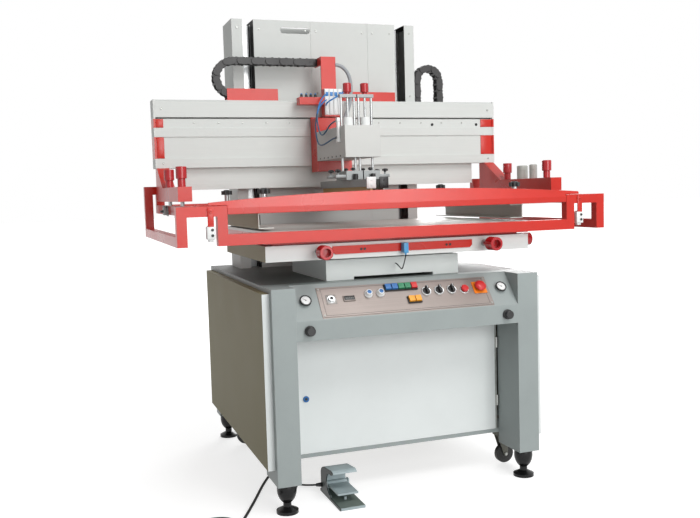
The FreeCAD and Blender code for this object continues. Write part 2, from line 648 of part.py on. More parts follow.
def build_regulators():
    """Two knurled air regulator knobs on the apron."""
    for side, name in ((-1, "left"), (1, "right")):
        knob = turned("Regulator", [
            ("0", "0"), ("regulator_collar", "0"), ("regulator_collar", "regulator_collar_length"),
            ("regulator_radius", "regulator_collar_length*1.2"),
            ("regulator_radius", "regulator_length*0.92"),
            ("regulator_radius*0.85", "regulator_length"), ("0", "regulator_length")])
        keep(put(knob, f"{side}*regulator_across", "front - clear_gap", "regulator_height", TURN["-y"]),
             f"regulator_knob_{name}")


# Printing table


def build_table():
    """Pedestal and skirt, the cross slide, the vacuum table and its three setting knobs."""
    half_base = "pedestal_width/2"
    base_front = "front + pedestal_front"
    base_back = "front + pedestal_front + pedestal_depth"
    pedestal = cut(
        box((f"-{half_base}", half_base), (base_front, base_back),
            ("cabinet_top", "cabinet_top + pedestal_height")),
        box(("-pedestal_slot/2", "pedestal_slot/2"), (f"{base_front} - 1", f"{base_back} + 1"),
            ("cabinet_top - 1", "cabinet_top + pedestal_slot_height")))
    riser = box((f"riser_inset - {half_base}", f"{half_base} - riser_inset"),
                (f"{base_front} + riser_inset", f"{base_back} - riser_inset"),
                ("cabinet_top + pedestal_height", "skirt_bottom"))
    half_table = "table_width/2"
    skirt = box((f"-{half_table}", half_table), ("table_face", "table_back"), ("skirt_bottom", "skirt_top"))
    hollow = box((f"skirt_wall - {half_table}", f"{half_table} - skirt_wall"),
                 ("table_face + skirt_wall", "table_back + 1"),
                 ("skirt_bottom + skirt_wall", "skirt_top - skirt_wall"))
    shaft_bore = "shaft_radius + running_gap"
    bores = [rod(shaft_bore, "bearing_length + skirt_wall + 2",
                 (f"{side}*knob_across", "table_face - bearing_length - 1", "knob_z"),
                 "+y") for side in (-1, 1)]
    side_y = "table_face + side_knob_setback"
    side_bore = rod(shaft_bore, "bearing_length + skirt_wall + 2",
                    (f"{half_table} - skirt_wall - 1", side_y, "knob_z"), "+x")
    bearings = [rod("bearing_radius", "bearing_length",
                    (f"{side}*knob_across", "table_face - bearing_length", "knob_z"),
                    "+y") for side in (-1, 1)]
    bearings.append(rod("bearing_radius", "bearing_length", (half_table, side_y, "knob_z"), "+x"))
    drilled = cut(join([skirt] + bearings), hollow, side_bore, *bores)
    keep(group([pedestal, riser, drilled, front_plate()]), "table_base")

    inset = "saddle_inset"
    keep(box((f"{inset} - {half_table}", f"{half_table} - {inset}"),
             (f"table_face + {inset}", f"table_back - {inset}"),
             ("saddle_bottom", "saddle_bottom + saddle_height")), "table_saddle")
    across, depth = (f"-{half_table}", half_table), ("table_face", "table_back")
    keep(group([box(across, depth, ("table_bottom", "plate_bottom")),
                box(across, depth, ("plate_bottom", "table_top"))]), "printing_table")

    for side, name in ((-1, "left"), (1, "right")):
        keep(put(setting_knob("knob_length", "table_front + knob_out + shaft_inside"),
                 f"{side}*knob_across", "front - knob_out", "knob_z", TURN["+y"]), f"table_knob_{name}")
    reach = "bearing_length + side_knob_standoff + side_knob_length"
    keep(put(setting_knob("side_knob_length", f"{reach} + shaft_inside"), f"{half_table} + {reach}", side_y,
             "knob_z", TURN["-x"]), "table_knob_side")


def front_plate():
    """Rounded plate screwed to the front of the skirt."""
    body = doc.addObject("PartDesign::Body", "FrontPlate")
    sketch = start_sketch(body, "XZ_Plane")
    half = "front_plate_width/2"
    high = "front_plate_height"
    corner = "front_plate_corner"
    polygon(sketch, [(f"{corner} - {half}", "0"), (f"{half} - {corner}", "0"), (half, corner), (half, high),
                     (f"-{half}", high), (f"-{half}", corner)])
    pad(body, sketch, "front_plate_sheet")
    return put(body, "0", "table_face", "skirt_top - front_plate_drop - front_plate_height")


def setting_knob(length, reach):
    """Round knob with a bored face, on a shaft; the axis starts at the face."""
    return turned("SettingKnob", [
        ("knob_bore", "0"), ("knob_radius*0.9", "0"), ("knob_radius", "knob_radius*0.1"),
        ("knob_radius", f"({length}) - knob_radius*0.1"), ("knob_radius*0.9", length),
        ("shaft_radius", length),
        ("shaft_radius", reach), ("0", reach), ("0", "knob_bore_depth"), ("knob_bore", "knob_bore_depth")])


# Column


def build_column():
    """Sheet covers of the column with two slots, and the lift behind them."""
    low, high = "cabinet_top", "column_top"
    half_middle = "middle_cover_width/2"
    middle = box((f"-{half_middle}", half_middle), ("column_face", "column_face + cover_return"),
                 (low, high))
    inside = box((f"cover_sheet - {half_middle}", f"{half_middle} - cover_sheet"),
                 ("column_face + cover_sheet", "column_face + cover_return + 1"),
                 (f"{low} - 1", f"{high} - cover_sheet"))
    seams = [box((f"{place} - seam_width/2", f"{place} + seam_width/2"),
                 ("column_face - 1", "column_face + cover_sheet/2"),
                 (f"{low} - 1", f"{high} + 1")) for place in ("seam_left", "seam_right")]
    hole_top = f"{high} - hand_hole_drop"
    hole_middle = f"{hole_top} - hand_hole_height/2"
    hole_ends = [rod("hand_hole_height/2", "cover_sheet + 2", (x, "column_face - 1", hole_middle), "+y")
                 for x in ("hand_hole_left + hand_hole_height/2",
                           "hand_hole_left + hand_hole_length - hand_hole_height/2")]
    hole = box(("hand_hole_left + hand_hole_height/2",
                "hand_hole_left + hand_hole_length - hand_hole_height/2"),
               ("column_face - 1", "column_face + cover_sheet + 1"),
               (f"{hole_top} - hand_hole_height", hole_top))
    covers = [cut(middle, inside, hole, *seams, *hole_ends)]
    outer = "column_width/2"
    for side in (-1, 1):
        shell = box(sided(side, f"{outer} - side_cover_width", outer), ("column_face", "column_back"),
                    (low, high))
        room = box(sided(side, f"{outer} - side_cover_width - 1", f"{outer} - cover_sheet"),
                   ("column_face + cover_sheet", "column_back - cover_sheet"),
                   (f"{low} - 1", f"{high} - cover_sheet"))
        covers.append(cut(shell, room))
    covers.append(box((f"side_cover_width - {outer}", f"{outer} - side_cover_width"),
                      ("column_back - column_lap", "column_back"), (low, high)))
    rails = [box((f"{side}*slot_across - guide_rail_width/2", f"{side}*slot_across + guide_rail_width/2"),
                 ("guide_face", "guide_face + guide_rail_depth"),
                 (low, f"{high} - column_lap")) for side in (-1, 1)]
    webs = [box((f"{side}*slot_across - guide_rail_width", f"{side}*slot_across + guide_rail_width"),
                ("guide_face + guide_rail_depth", "column_back - column_lap"), (low, f"{high} - column_lap"))
            for side in (-1, 1)]
    screw_y = "column_face + lift_screw_setback"
    screw = rod("lift_screw_radius", f"{high} - {low} - 2*column_lap", ("0", screw_y, low))
    motor = rod("lift_motor_radius", "lift_motor_height",
                ("0", screw_y, f"{low} - deck_sheet - lift_motor_height"))
    shelf = box(("column_width/2", "lift_chain_left + chain_eye"),
                ("front + lift_chain_y + chain_width/2",
                 "front + lift_chain_y + chain_width/2 + lift_bracket"),
                ("lift_chain_foot - chain_pitch", "lift_chain_foot + chain_pitch"))
    keep(group(covers + rails + webs + [screw, motor, shelf]), "column")


# Head: beam, arms and screen carrier


def build_beam():
    """Extruded beam with a stepped face, its valance and the slide blocks behind it."""
    heights = ["beam_bottom"]
    for step in ("low_ledge", "main_face", "high_ledge", "rail_face", "rail_recess", "top_cover"):
        heights.append(f"{heights[-1]} + {step}")
    depths = ["0", "face_set_back", "ledge_set_back", "face_set_back", "recess_depth", "0"]
    outline = []
    for index, depth in enumerate(depths):
        outline += [(f"beam_face + {depth}", heights[index]), (f"beam_face + {depth}", heights[index + 1])]
    outline[-1] = ("beam_face", f"{heights[-1]} - cover_round")
    outline += [("beam_face + cover_round", heights[-1]), ("beam_back", heights[-1]),
                ("beam_back", "beam_bottom")]
    profile = cut(profile_bar("BeamProfile", outline, "2*beam_half"),
                  box(("-beam_half - 1", "beam_half + 1"),
                      ("beam_face + recess_depth + beam_wall", "beam_back - beam_wall"),
                      ("beam_bottom + beam_wall", "beam_top - beam_wall")))
    valance = box(("-valance_half", "valance_half"),
                  ("beam_face + valance_setback", "beam_face + valance_setback + valance_sheet"),
                  ("beam_bottom - valance_height", "beam_bottom"))
    blocks = [box((f"{side}*slot_across - slide_block_width/2", f"{side}*slot_across + slide_block_width/2"),
                  ("beam_back", "guide_face - clear_gap"),
                  ("beam_bottom + slide_block_rise", "beam_bottom + slide_block_rise + slide_block_height"))
              for side in (-1, 1)]
    keep(group([profile, valance] + blocks), "beam")


def damper(name):
    """An upright stop cylinder on the right arm, with a groove under its cap."""
    radius, height = f"{name}_radius", f"{name}_height"
    body = turned("Damper", [
        ("0", "0"), (radius, "0"), (radius, f"{height}*0.58"),
        (f"{radius} - damper_groove", f"{height}*0.6"),
        (radius, f"{height}*0.62"), (radius, f"{height} - damper_round"),
        (f"{radius} - damper_round", height),
        ("0", height)])
    return put(body, "adjuster_across", f"front + {name}_depth", "arm_top")


def build_arms():
    """Two gusseted arms under the beam's ends, its end plates, the chain tray and the rear stop rail."""
    pieces = []
    for side in (-1, 1):
        arm = profile_bar("Arm", [
            ("front + arm_front", "arm_bottom"), ("front + gusset_rear", "arm_bottom"),
            ("front + gusset_rear", "beam_bottom"), ("beam_face", "beam_bottom"),
            ("front + gusset_front", "arm_top"), ("front + arm_front", "arm_top")],
            "arm_width", f"{side}*(arm_inner + arm_width/2)")
        bores = [rod("adjuster_screw + running_gap", "arm_height + 2",
                     (f"{side}*adjuster_across", f"front + {place}", "arm_bottom - 1"))
                 for place in ("adjuster_front", "adjuster_rear")]
        pieces.append(cut(arm, *bores))
        pieces.append(box(sided(side, "beam_half", "beam_half + end_plate"), ("beam_face", "beam_back"),
                          ("beam_bottom", "beam_top")))
    tray_y = ("front + chain_y - chain_width/2 - chain_play - chain_tray_wall",
              "front + chain_y + chain_width/2 + chain_play + chain_tray_wall")
    tray = box(("chain_tray_left", "chain_tray_right"), tray_y, ("beam_top", "beam_top + chain_tray_height"))
    groove = box(("chain_tray_left - 1", "chain_tray_right + 1"),
                 (f"{tray_y[0]} + chain_tray_wall", f"{tray_y[1]} - chain_tray_wall"),
                 ("beam_top + chain_tray_wall", "beam_top + chain_tray_height + 1"))
    stops = box(("stop_rail_left", "stop_rail_right"), ("front + chain_y - stop_rail_sheet/2",
                                                       "front + chain_y + stop_rail_sheet/2"),
                ("beam_top", "beam_top + stop_rail_height"))
    bracket = box(("lift_chain_left + 2*lift_chain_radius - chain_pitch/2",
                   "lift_chain_left + 2*lift_chain_radius + chain_pitch/2"),
                  ("beam_back", "front + lift_chain_y - chain_width/2"),
                  ("lift_chain_foot - chain_pitch", "lift_chain_foot + chain_pitch"))
    dampers = [damper(name) for name in ("damper", "buffer")]
    keep(group(pieces + [cut(tray, groove), stops, bracket] + dampers), "head_arms")


def build_adjusters():
    """Four stepped screw knobs that set the carrier's height."""
    for index, (side, place) in enumerate((s, p) for p in ("adjuster_front", "adjuster_rear")
                                          for s in (-1, 1)):
        neck_top = "adjuster_neck"
        knob = turned("Adjuster", [
            ("0", "-arm_height - clear_gap - arm_bottom + carrier_top - tube*0.7"),
            ("adjuster_screw", "-arm_height - clear_gap - arm_bottom + carrier_top - tube*0.7"),
            ("adjuster_screw", "0"), ("adjuster_neck_radius", "0"), ("adjuster_neck_radius", neck_top),
            ("adjuster_radius*0.92", neck_top), ("adjuster_radius", f"{neck_top} + adjuster_radius*0.08"),
            ("adjuster_radius", f"{neck_top} + adjuster_height - 2"),
            ("adjuster_radius - 2", f"{neck_top} + adjuster_height"),
            ("0", f"{neck_top} + adjuster_height")])
        keep(put(knob, f"{side}*adjuster_across", f"front + {place}", "arm_top + clear_gap"),
             f"height_knob_{corner_name(index)}")


def build_carrier():
    """Welded tube frame that carries the screen, with its bowed front rail."""
    front = ("carrier_face", "carrier_face + tube")
    tubes = []
    for side in (-1, 1):
        outer = sided(side, "carrier_half - tube", "carrier_half")
        rail = sided(side, "side_rail_inner", "side_rail_inner + tube")
        rear = ("carrier_back - tube", "carrier_back")
        tubes += [
            box(outer, front, ("carrier_bottom", "carrier_top")),
            box(sided(side, "inner_post_inner", "carrier_half"), front,
                ("carrier_top - tube", "carrier_top")),
            box(sided(side, "inner_post_inner", "inner_post_outer"), front,
                ("carrier_bottom", "carrier_top")),
            box(outer, ("carrier_face", "carrier_back"), ("carrier_bottom", "carrier_bottom + tube")),
            box(outer, rear, ("carrier_bottom", "rear_post_top")),
            box(sided(side, "side_rail_inner", "carrier_half"), rear,
                ("rear_post_top - tube", "rear_post_top")),
            box(rail, rear, ("carrier_top - tube", "rear_post_top")),
            box(rail, ("carrier_face", "carrier_back"), ("carrier_top - tube", "carrier_top")),
        ]
    tubes.append(box(("-inner_post_inner", "inner_post_inner"), front,
                     ("carrier_bottom", "carrier_bottom + front_bar_height")))
    for rail in ("front_rail", "rear_rail"):
        tubes.append(box(("-side_rail_inner", "side_rail_inner"), (rail, f"{rail} + tube"),
                         ("cross_rail_bottom", "rail_top")))
    slots = []
    for side in (-1, 1):
        for rail in ("front_rail", "rear_rail"):
            slots.append(box(sided(side, "channel_across - channel_inward - clamp_stem - clear_gap",
                                   "channel_across + channel_outward + clamp_stem + clear_gap"),
                             (f"{rail} + tube/2 - clamp_stem - clear_gap",
                              f"{rail} + tube/2 + clamp_stem + clear_gap"),
                             ("cross_rail_bottom - 1", "rail_top + 1")))
        for place in ("adjuster_front", "adjuster_rear"):
            slots.append(rod("adjuster_screw + running_gap", "tube + 2",
                             (f"{side}*adjuster_across", f"front + {place}", "carrier_top - tube - 1")))
    keep(group([cut(join(tubes), *slots), arch_band(), arch_lip()]), "carrier_frame")


def lens(body, low_end, low_crown, high_end, high_crown):
    """A sketch bounded by two shallow arcs between the carrier's inner posts."""
    sketch = start_sketch(body, "XZ_Plane")
    half = "inner_post_inner"
    rows = ((low_end, low_crown), (high_end, high_crown))
    arcs = []
    for end, crown in rows:
        rise = size_of(crown) - size_of(end)
        radius = (size(half) ** 2 + rise ** 2) / (2 * abs(rise))
        centre = Vector(0, size_of(crown) - math.copysign(radius, rise), 0)
        spread = math.asin(size(half) / radius)
        middle = math.copysign(math.pi / 2, rise)
        ring = Part.Circle(centre, Vector(0, 0, 1), radius)
        arc = sketch.addGeometry(Part.ArcOfCircle(ring, middle - spread, middle + spread))
        left, right = (1, 2) if rise < 0 else (2, 1)
        pin_point(sketch, arc, left, f"-{half}", end)
        pin_point(sketch, arc, right, half, end)
        number = sketch.addConstraint(Sketcher.Constraint("Radius", arc, radius))
        sag = f"abs(({crown}) - ({end}))"
        sketch.setExpression(f"Constraints[{number}]", bound(f"({half}^2 + {sag}^2)/(2*{sag})"))
        arcs.append((arc, left, right))
    for end in (1, 2):
        spots = [sketch.getPoint(arc[0], arc[end]) for arc in arcs]
        edge = sketch.addGeometry(Part.LineSegment(*spots))
        for spot, arc in zip((1, 2), arcs):
            sketch.addConstraint(Sketcher.Constraint("Coincident", edge, spot, arc[0], arc[end]))
    return sketch


def size_of(text):
    """The value of a size, or of a difference of two sizes."""
    first, _, second = text.partition(" - ")
    return size(first) - (size(second) if second else 0.0)


def arch_band():
    """Bowed upper face of the front rail, leaning back."""
    body = doc.addObject("PartDesign::Body", "ArchBand")
    base = "arch_crease_crown"
    sketch = lens(body, f"arch_shoulder - {base}", f"arch_crease_crown - {base}",
                  f"arch_end_top - {base}", f"arch_crown - {base}")
    pad(body, sketch, "arch_sheet")
    lean = Rotation(Vector(1, 0, 0), -size("arch_tilt_degrees"))
    return put(body, "0", "carrier_face + arch_sheet + 1", base, lean)


def arch_lip():
    """Upright lower lip of the front rail."""
    body = doc.addObject("PartDesign::Body", "ArchLip")
    sketch = lens(body, "arch_lip_end", "arch_lip_crown", "arch_shoulder", "arch_crease_crown")
    pad(body, sketch, "arch_sheet")
    return put(body, "0", "carrier_face + arch_sheet + 1", "0")


def build_channels():
    """Two aluminium channels that hold the screen's frame, and their star clamps."""
    for side, name in ((-1, "left"), (1, "right")):
        near, far = "channel_across - channel_width/2", "channel_across + channel_width/2"
        depth = ("front + channel_front", "front + channel_front + channel_length")
        bar = box(sided(side, near, far), depth, ("channel_top - channel_height", "channel_top"))
        groove = box(sided(side, f"{near} - 1", f"{far} - channel_wall"),
                     (f"{depth[0]} - 1", f"{depth[1]} + 1"),
                     ("channel_top - channel_height + channel_wall", "channel_top - channel_wall"))
        bores = [rod("clamp_stem + running_gap", "channel_wall + 2",
                     (f"{side}*channel_across", f"{rail} + tube/2", "channel_top - channel_wall - 1"))
                 for rail in ("front_rail", "rear_rail")]
        keep(cut(bar, groove, *bores), f"frame_channel_{name}")
        for rail, end in (("front_rail", "front"), ("rear_rail", "rear")):
            keep(put(star_knob(), f"{side}*channel_across", f"{rail} + tube/2", "rail_top + clear_gap"),
                 f"clamp_knob_{end}_{name}")


def star_knob():
    """Six-lobed hand knob on a stem that runs down through rail and channel."""
    body = turned("StarKnob", [
        ("0", "-tube - clear_gap - channel_wall + 0.5"),
        ("clamp_stem", "-tube - clear_gap - channel_wall + 0.5"),
        ("clamp_stem", "0"), ("clamp_hub*0.8", "0"), ("clamp_hub*0.8", "clamp_rise"),
        ("clamp_reach", "clamp_rise"),
        ("clamp_reach", "clamp_rise + clamp_height*0.8"), ("clamp_hub*0.7", "clamp_rise + clamp_height"),
        ("0", "clamp_rise + clamp_height")])
    sketch = start_sketch(body, "XY_Plane")
    sketch.setExpression("AttachmentOffset.Base.z", bound("clamp_rise"))
    circle(sketch, "clamp_reach", "0", "clamp_lobe")
    lobe = pad(body, sketch, "clamp_height*0.8")
    pattern = body.newObject("PartDesign::PolarPattern", "Lobes")
    pattern.Originals = [lobe]
    pattern.Axis = (sketch, ["N_Axis"])
    pattern.Angle = 360
    pattern.Occurrences = 6
    body.Tip = pattern
    return body


# Carriage, print head and blades


def build_carriage():
    """Folded carriage on the beam's rail, with its mast, tray and valve block."""
    right = "carriage_left + carriage_width"
    shell = box(("carriage_left", right), ("carriage_face", "carriage_back"),
                ("carriage_bottom", "carriage_top"))
    hollow = box(("carriage_left + carriage_wall", f"{right} - carriage_wall"),
                 ("carriage_face + carriage_wall", "carriage_back + 1"),
                 ("carriage_bottom - 1", "carriage_top - carriage_wall"))
    runner = box(("carriage_left + carriage_wall", f"{right} - carriage_wall"),
                 ("carriage_back - carriage_wall", "beam_face + runner_depth"),
                 ("recess_bottom + runner_gap", "recess_bottom + rail_recess - runner_gap"))
    neck = box(("carriage_left", right), ("carriage_back - carriage_wall*2", "carriage_back"),
               ("carriage_top - carriage_wall", "recess_bottom + rail_recess - runner_gap"))
    mast = box(("mast_left", "mast_left + mast_width"),
               ("front + mast_front", "front + mast_front + mast_sheet"),
               ("carriage_top - 1", "mast_top"))
    tray_y = ("front + mast_front + mast_sheet - tray_depth", "front + mast_front + mast_sheet")
    tray = box(("tray_left", "mast_left"), tray_y, ("tray_bottom", "tray_bottom + tray_height"))
    bowl = box(("tray_left + tray_wall", "mast_left - tray_wall"),
               (f"{tray_y[0]} + tray_wall", f"{tray_y[1]} - tray_wall"),
               ("tray_bottom + tray_wall", "tray_bottom + tray_height + 1"))
    valve = box(("mast_left", "mast_left + valve_width"),
                ("front + mast_front - valve_depth", "front + mast_front"),
                ("valve_bottom", "valve_bottom + valve_height"))
    shelf = box(("mast_left", "mast_left + valve_width"),
                ("front + mast_front - valve_depth", "front + mast_front"),
                ("valve_bottom - carriage_wall", "valve_bottom"))
    hook = box(("mast_left", "mast_left + mast_sheet"),
               ("front + mast_front", "front + chain_y + chain_width/2"),
               ("chain_upper - chain_eye - chain_bar_sheet", "mast_top"))
    folded = join([cut(shell, hollow), runner, neck, mast, hook, cut(tray, bowl), shelf])
    keep(group([folded, valve]), "carriage_plate")


def build_print_head():
    """Head block with the bores of four guide rods, and two stroke cylinders with room for their pistons."""
    block = box(("carriage_left", "carriage_left + head_width"), ("head_face", "carriage_face"),
                ("head_bottom", "head_top"))
    bores = [rod("rod_radius + running_gap", "head_height + 2",
                 (f"{axis} + {side}*rod_spread", "print_y", "head_bottom - 1"))
             for axis in ("squeegee_x", "flood_x") for side in (-1, 1)]
    cylinders = []
    for axis in ("squeegee_x", "flood_x"):
        room = [rod("piston_radius + running_gap", "piston_travel + piston_overlap + 1",
                    (axis, "print_y", "piston_foot - piston_travel")) for _ in range(2)]
        body = rod("cylinder_radius", "cylinder_height", (axis, "print_y", "head_top"))
        cylinders.append(cut(body, room[0]))
        bores.append(room[1])
    keep(group([cut(block, *bores)] + cylinders), "print_head")


def blade_carriage(axis, front, length):
    """Yoke, guide rods, piston rod, stroke knob, clamp block and holder of one blade."""
    rods = [rod("rod_radius", "yoke_bottom - rod_foot + 1",
                (f"{axis} + {side}*rod_spread", "print_y", "rod_foot"))
            for side in (-1, 1)]
    rods.append(rod("piston_radius", "yoke_bottom - piston_foot + 1", (axis, "print_y", "piston_foot")))
    half = "rod_spread + rod_radius + 2"
    yoke = box((f"{axis} - ({half})", f"{axis} + {half}"),
               ("print_y - yoke_depth/2", "print_y + yoke_depth/2"),
               ("yoke_bottom", "yoke_bottom + yoke_height"))
    knob = turned("StrokeKnob", [
        ("0", "0"), ("stroke_knob_radius*0.6", "0"), ("stroke_knob_radius*0.6", "stroke_knob_height*0.15"),
        ("stroke_knob_radius", "stroke_knob_height*0.2"), ("stroke_knob_radius", "stroke_knob_height*0.94"),
        ("stroke_knob_radius*0.85", "stroke_knob_height"), ("0", "stroke_knob_height")])
    put(knob, axis, "print_y", "yoke_bottom + yoke_height")
    saddle = box((f"{axis} - ({half})", f"{axis} + {half}"),
                 ("print_y - clamp_block_length/2", "print_y + clamp_block_length/2"),
                 ("holder_bottom + holder_height", "holder_bottom + holder_height + clamp_block_height"))
    ends = (f"front + {front}", f"front + {front} + {length}")
    holder = box((f"{axis} - holder_width/2", f"{axis} + holder_width/2"), ends,
                 ("holder_bottom", "holder_bottom + holder_height"))
    screws = [rod("wing_knob_radius", "wing_knob_length",
                  (axis, f"print_y + {side}*(clamp_block_length/2 + wing_knob_radius + 2)",
                   "holder_bottom + holder_height")) for side in (-1, 1)]
    return [join(rods + [yoke, saddle, holder])], [knob] + screws, ends


def build_blades():
    """The squeegee and the flood bar, each with its own yoke."""
    frame, trims, ends = blade_carriage("squeegee_x", "squeegee_front", "squeegee_length")
    blade = profile_strip("squeegee_x", ends, "blade_width", "blade_width*0.35")
    keep(group(frame + [blade] + trims), "squeegee")
    frame, trims, ends = blade_carriage("flood_x", "flood_front", "flood_length")
    strip = profile_strip("flood_x", ends, "flood_sheet", "flood_sheet")
    keep(group(frame + [strip] + trims), "flood_bar")


def profile_strip(axis, ends, width, tip):
    """A blade under its holder, narrowed towards its edge, run front to back."""
    body = doc.addObject("PartDesign::Body", "Blade")
    sketch = start_sketch(body, "XZ_Plane")
    bevel = "(holder_bottom - blade_bottom)/3"
    polygon(sketch, [(f"-({tip})/2", "blade_bottom"), (f"({tip})/2", "blade_bottom"),
                     (f"({width})/2", f"blade_bottom + {bevel}"), (f"({width})/2", "holder_bottom"),
                     (f"-({width})/2", "holder_bottom"), (f"-({width})/2", f"blade_bottom + {bevel}")])
    pad(body, sketch, f"({ends[1]}) - ({ends[0]})")
    return put(body, axis, ends[1])


# Cable chains


def chain_link(half_width):
    """One link: two eyed side plates and two cross bars, along X about its middle."""
    pitch, eye, plate = size("chain_pitch"), size("chain_eye"), size("chain_plate")
    parts = []
    for y in (-half_width, half_width - plate):
        parts.append(Part.makeBox(pitch, plate, 2 * eye, Vector(-pitch / 2, y, -eye)))
        for x in (-pitch / 2, pitch / 2):
            parts.append(Part.makeCylinder(eye, plate, Vector(x, y, 0), Vector(0, 1, 0)))
    bar, thick = size("chain_bar"), size("chain_bar_sheet")
    for z in (-eye - thick + 1, eye - 1):
        parts.append(Part.makeBox(bar, 2 * half_width, thick, Vector(-bar / 2, -half_width, z)))
    return parts[0].multiFuse(parts[1:]).removeSplitter()


def chain(label, steps):
    """A run of links, wide and narrow in turn, at given places and turns."""
    half = size("chain_width") / 2
    links = (chain_link(half), chain_link(half - size("chain_plate") - size("chain_play")))
    shapes = []
    for index, (x, y, z, turn) in enumerate(steps):
        copy = links[index % 2].copy()
        copy.Placement = Placement(Vector(x, y, z), Rotation(Vector(0, 1, 0), turn))
        shapes.append(copy)
    keep(solid(doc.addObject("Part::Feature", "Chain"), Part.makeCompound(shapes)), label)


def loop_steps(first, second, radius, start, along):
    """Places of links along a straight, round a half circle and back along a straight.

    Pins stand one pitch apart on the path, and a link lies on the chord between its two pins.
    """
    pitch = size("chain_pitch")
    arc = math.pi * radius
    count = int((first + arc + second) / pitch)

    def point(s):
        if s < first:
            return (first - s, -radius)
        if s < first + arc:
            a = (s - first) / radius
            return (-radius * math.sin(a), -radius * math.cos(a))
        return (s - first - arc, radius)

    steps = []
    for index in range(count):
        (u0, v0), (u1, v1) = point(index * pitch), point((index + 1) * pitch)
        steps.append(along((u0 + u1) / 2, (v0 + v1) / 2, math.atan2(v1 - v0, u1 - u0), start))
    return steps


def build_chains():
    """The carriage's chain over the beam, and the chain that follows the head's lift."""
    y = size("front") + size("chain_y")
    middle = size("chain_upper") - size("chain_bend_radius")
    bend = size("chain_bend_x")

    def flat(u, v, angle, _):
        return (bend + u, y, middle + v, -math.degrees(angle))

    lower = size("chain_tray_right") - size("chain_play") - size("chain_eye") - bend
    upper = size("mast_left") - size("chain_play") - size("chain_eye") - bend
    chain("carriage_chain", loop_steps(lower, upper, size("chain_bend_radius"), bend, flat))

    lift_y = size("front") + size("lift_chain_y")
    lift_middle = size("lift_chain_left") + size("lift_chain_radius")
    top = size("lift_chain_bend")

    def upright(u, v, angle, _):
        return (lift_middle + v, lift_y, top - u, 90 - math.degrees(angle) + 180)

    leg = top - size("lift_chain_foot")
    chain("lift_chain", loop_steps(leg, leg, size("lift_chain_radius"), top, upright))


# Foot pedal


def hood_block(across, inset, bottom):
    """The hood's outer form or, with an inset, the room inside it: a block with two round upper edges."""
    face, rear = f"front + hood_front + ({inset})", f"front + hood_rear - ({inset})"
    top, bend = f"pedal_top - ({inset})", f"hood_round - ({inset})"
    bars = [rod(bend, f"({across[1]}) - ({across[0]})", (across[0], y, f"{top} - ({bend})"), "+x")
            for y in (f"{face} + ({bend})", f"{rear} - ({bend})")]
    return join([box(across, (face, rear), (bottom, f"{top} - ({bend})")),
                 box(across, (f"{face} + ({bend})", f"{rear} - ({bend})"), (bottom, top))] + bars)


def build_pedal():
    """Pedal base with its hood, and the treadle hinged inside it."""
    base = box(("pedal_left", "pedal_right"), ("pedal_face", "pedal_face + pedal_length"),
               ("0", "pedal_base"))
    middle = "pedal_left + pedal_width/2"
    shell = hood_block(("pedal_left", "pedal_right"), "0", "pedal_base - 1")
    room = hood_block(("pedal_left + hood_wall", "pedal_right + 1"), "hood_wall", "pedal_base - 2")
    under_lip = box(("pedal_left - 1", "pedal_right + 1"),
                    ("front + hood_front - 1", "front + hood_front + hood_lip"),
                    ("pedal_base - 2", "pedal_top - hood_drop"))
    scoop = rod("hood_scoop", "hood_wall + 2", ("pedal_left - 1", "front + hood_front + hood_lip",
                                               "pedal_top - hood_drop - hood_scoop*0.7"), "+x")
    hood = cut(shell, room, under_lip, scoop)
    pin_y, pin_z = "front + treadle_hinge_y", "treadle_hinge_z"
    pin = rod("treadle_pin", "pedal_width - hood_wall", ("pedal_left + hood_wall/2", pin_y, pin_z), "+x")
    ear = box(("pedal_right - hood_wall", "pedal_right"),
              (f"{pin_y} - treadle_pin*2", f"{pin_y} + treadle_pin*2"),
              ("pedal_base - 1", f"{pin_z} + treadle_pin*2"))
    peg = rod("treadle_pin", "pedal_base + stop_height",
              (middle, "front + treadle_front + stop_setback", "0"))
    keep(join([base, hood, pin, ear, peg]), "pedal_housing")

    plate_top, under = f"{pin_z} + treadle_pin*0.6", f"{pin_z} + treadle_pin*0.6 - treadle_sheet"
    boss = "treadle_pin*2"
    tread = profile_bar("Treadle", [
        ("front + treadle_front", under), (f"{pin_y} - {boss}", under),
        (f"{pin_y} - {boss}", f"{pin_z} - {boss}"),
        (f"{pin_y} + {boss}", f"{pin_z} - {boss}"), (f"{pin_y} + {boss}", f"{pin_z} + treadle_heel"),
        (f"{pin_y} + {boss} - treadle_sheet", f"{pin_z} + treadle_heel"),
        (f"{pin_y} + {boss} - treadle_sheet", f"{pin_z} + {boss}"),
        (f"{pin_y} - {boss}", f"{pin_z} + {boss}"),
        (f"{pin_y} - {boss}*1.6", plate_top), ("front + treadle_front", plate_top)],
        "pedal_width - 2*treadle_side_gap", middle)
    bore = rod("treadle_pin + running_gap", "pedal_width", ("pedal_left", pin_y, pin_z), "+x")
    keep(cut(tread, bore), "treadle")


# Leads


def route_points(route):
    """A lead's points in the machine's frame."""
    front = size("front")
    return [Vector(x, front + y, z) for x, y, z in route]


def lead_path(points):
    """Straight runs joined by arcs as large as the runs allow, with the arcs' radii."""
    edges, radii = [], []
    last = points[0]
    for before, corner, after in zip(points, points[1:], points[2:]):
        into, out = (corner - before), (after - corner)
        turn = into.getAngle(out)
        reach = 0.45 * min(into.Length, out.Length)
        radii.append(reach / math.tan(turn / 2))
        into.normalize()
        out.normalize()
        first, final = corner - into * reach, corner + out * reach
        middle_way = (out - into).normalize()
        centre = corner + middle_way * (radii[-1] / math.cos(turn / 2))
        middle = centre - middle_way * radii[-1]
        edges += [Part.LineSegment(last, first), Part.Arc(first, middle, final)]
        last = final
    edges.append(Part.LineSegment(last, points[-1]))
    return Part.Wire([edge.toShape() for edge in edges]), radii


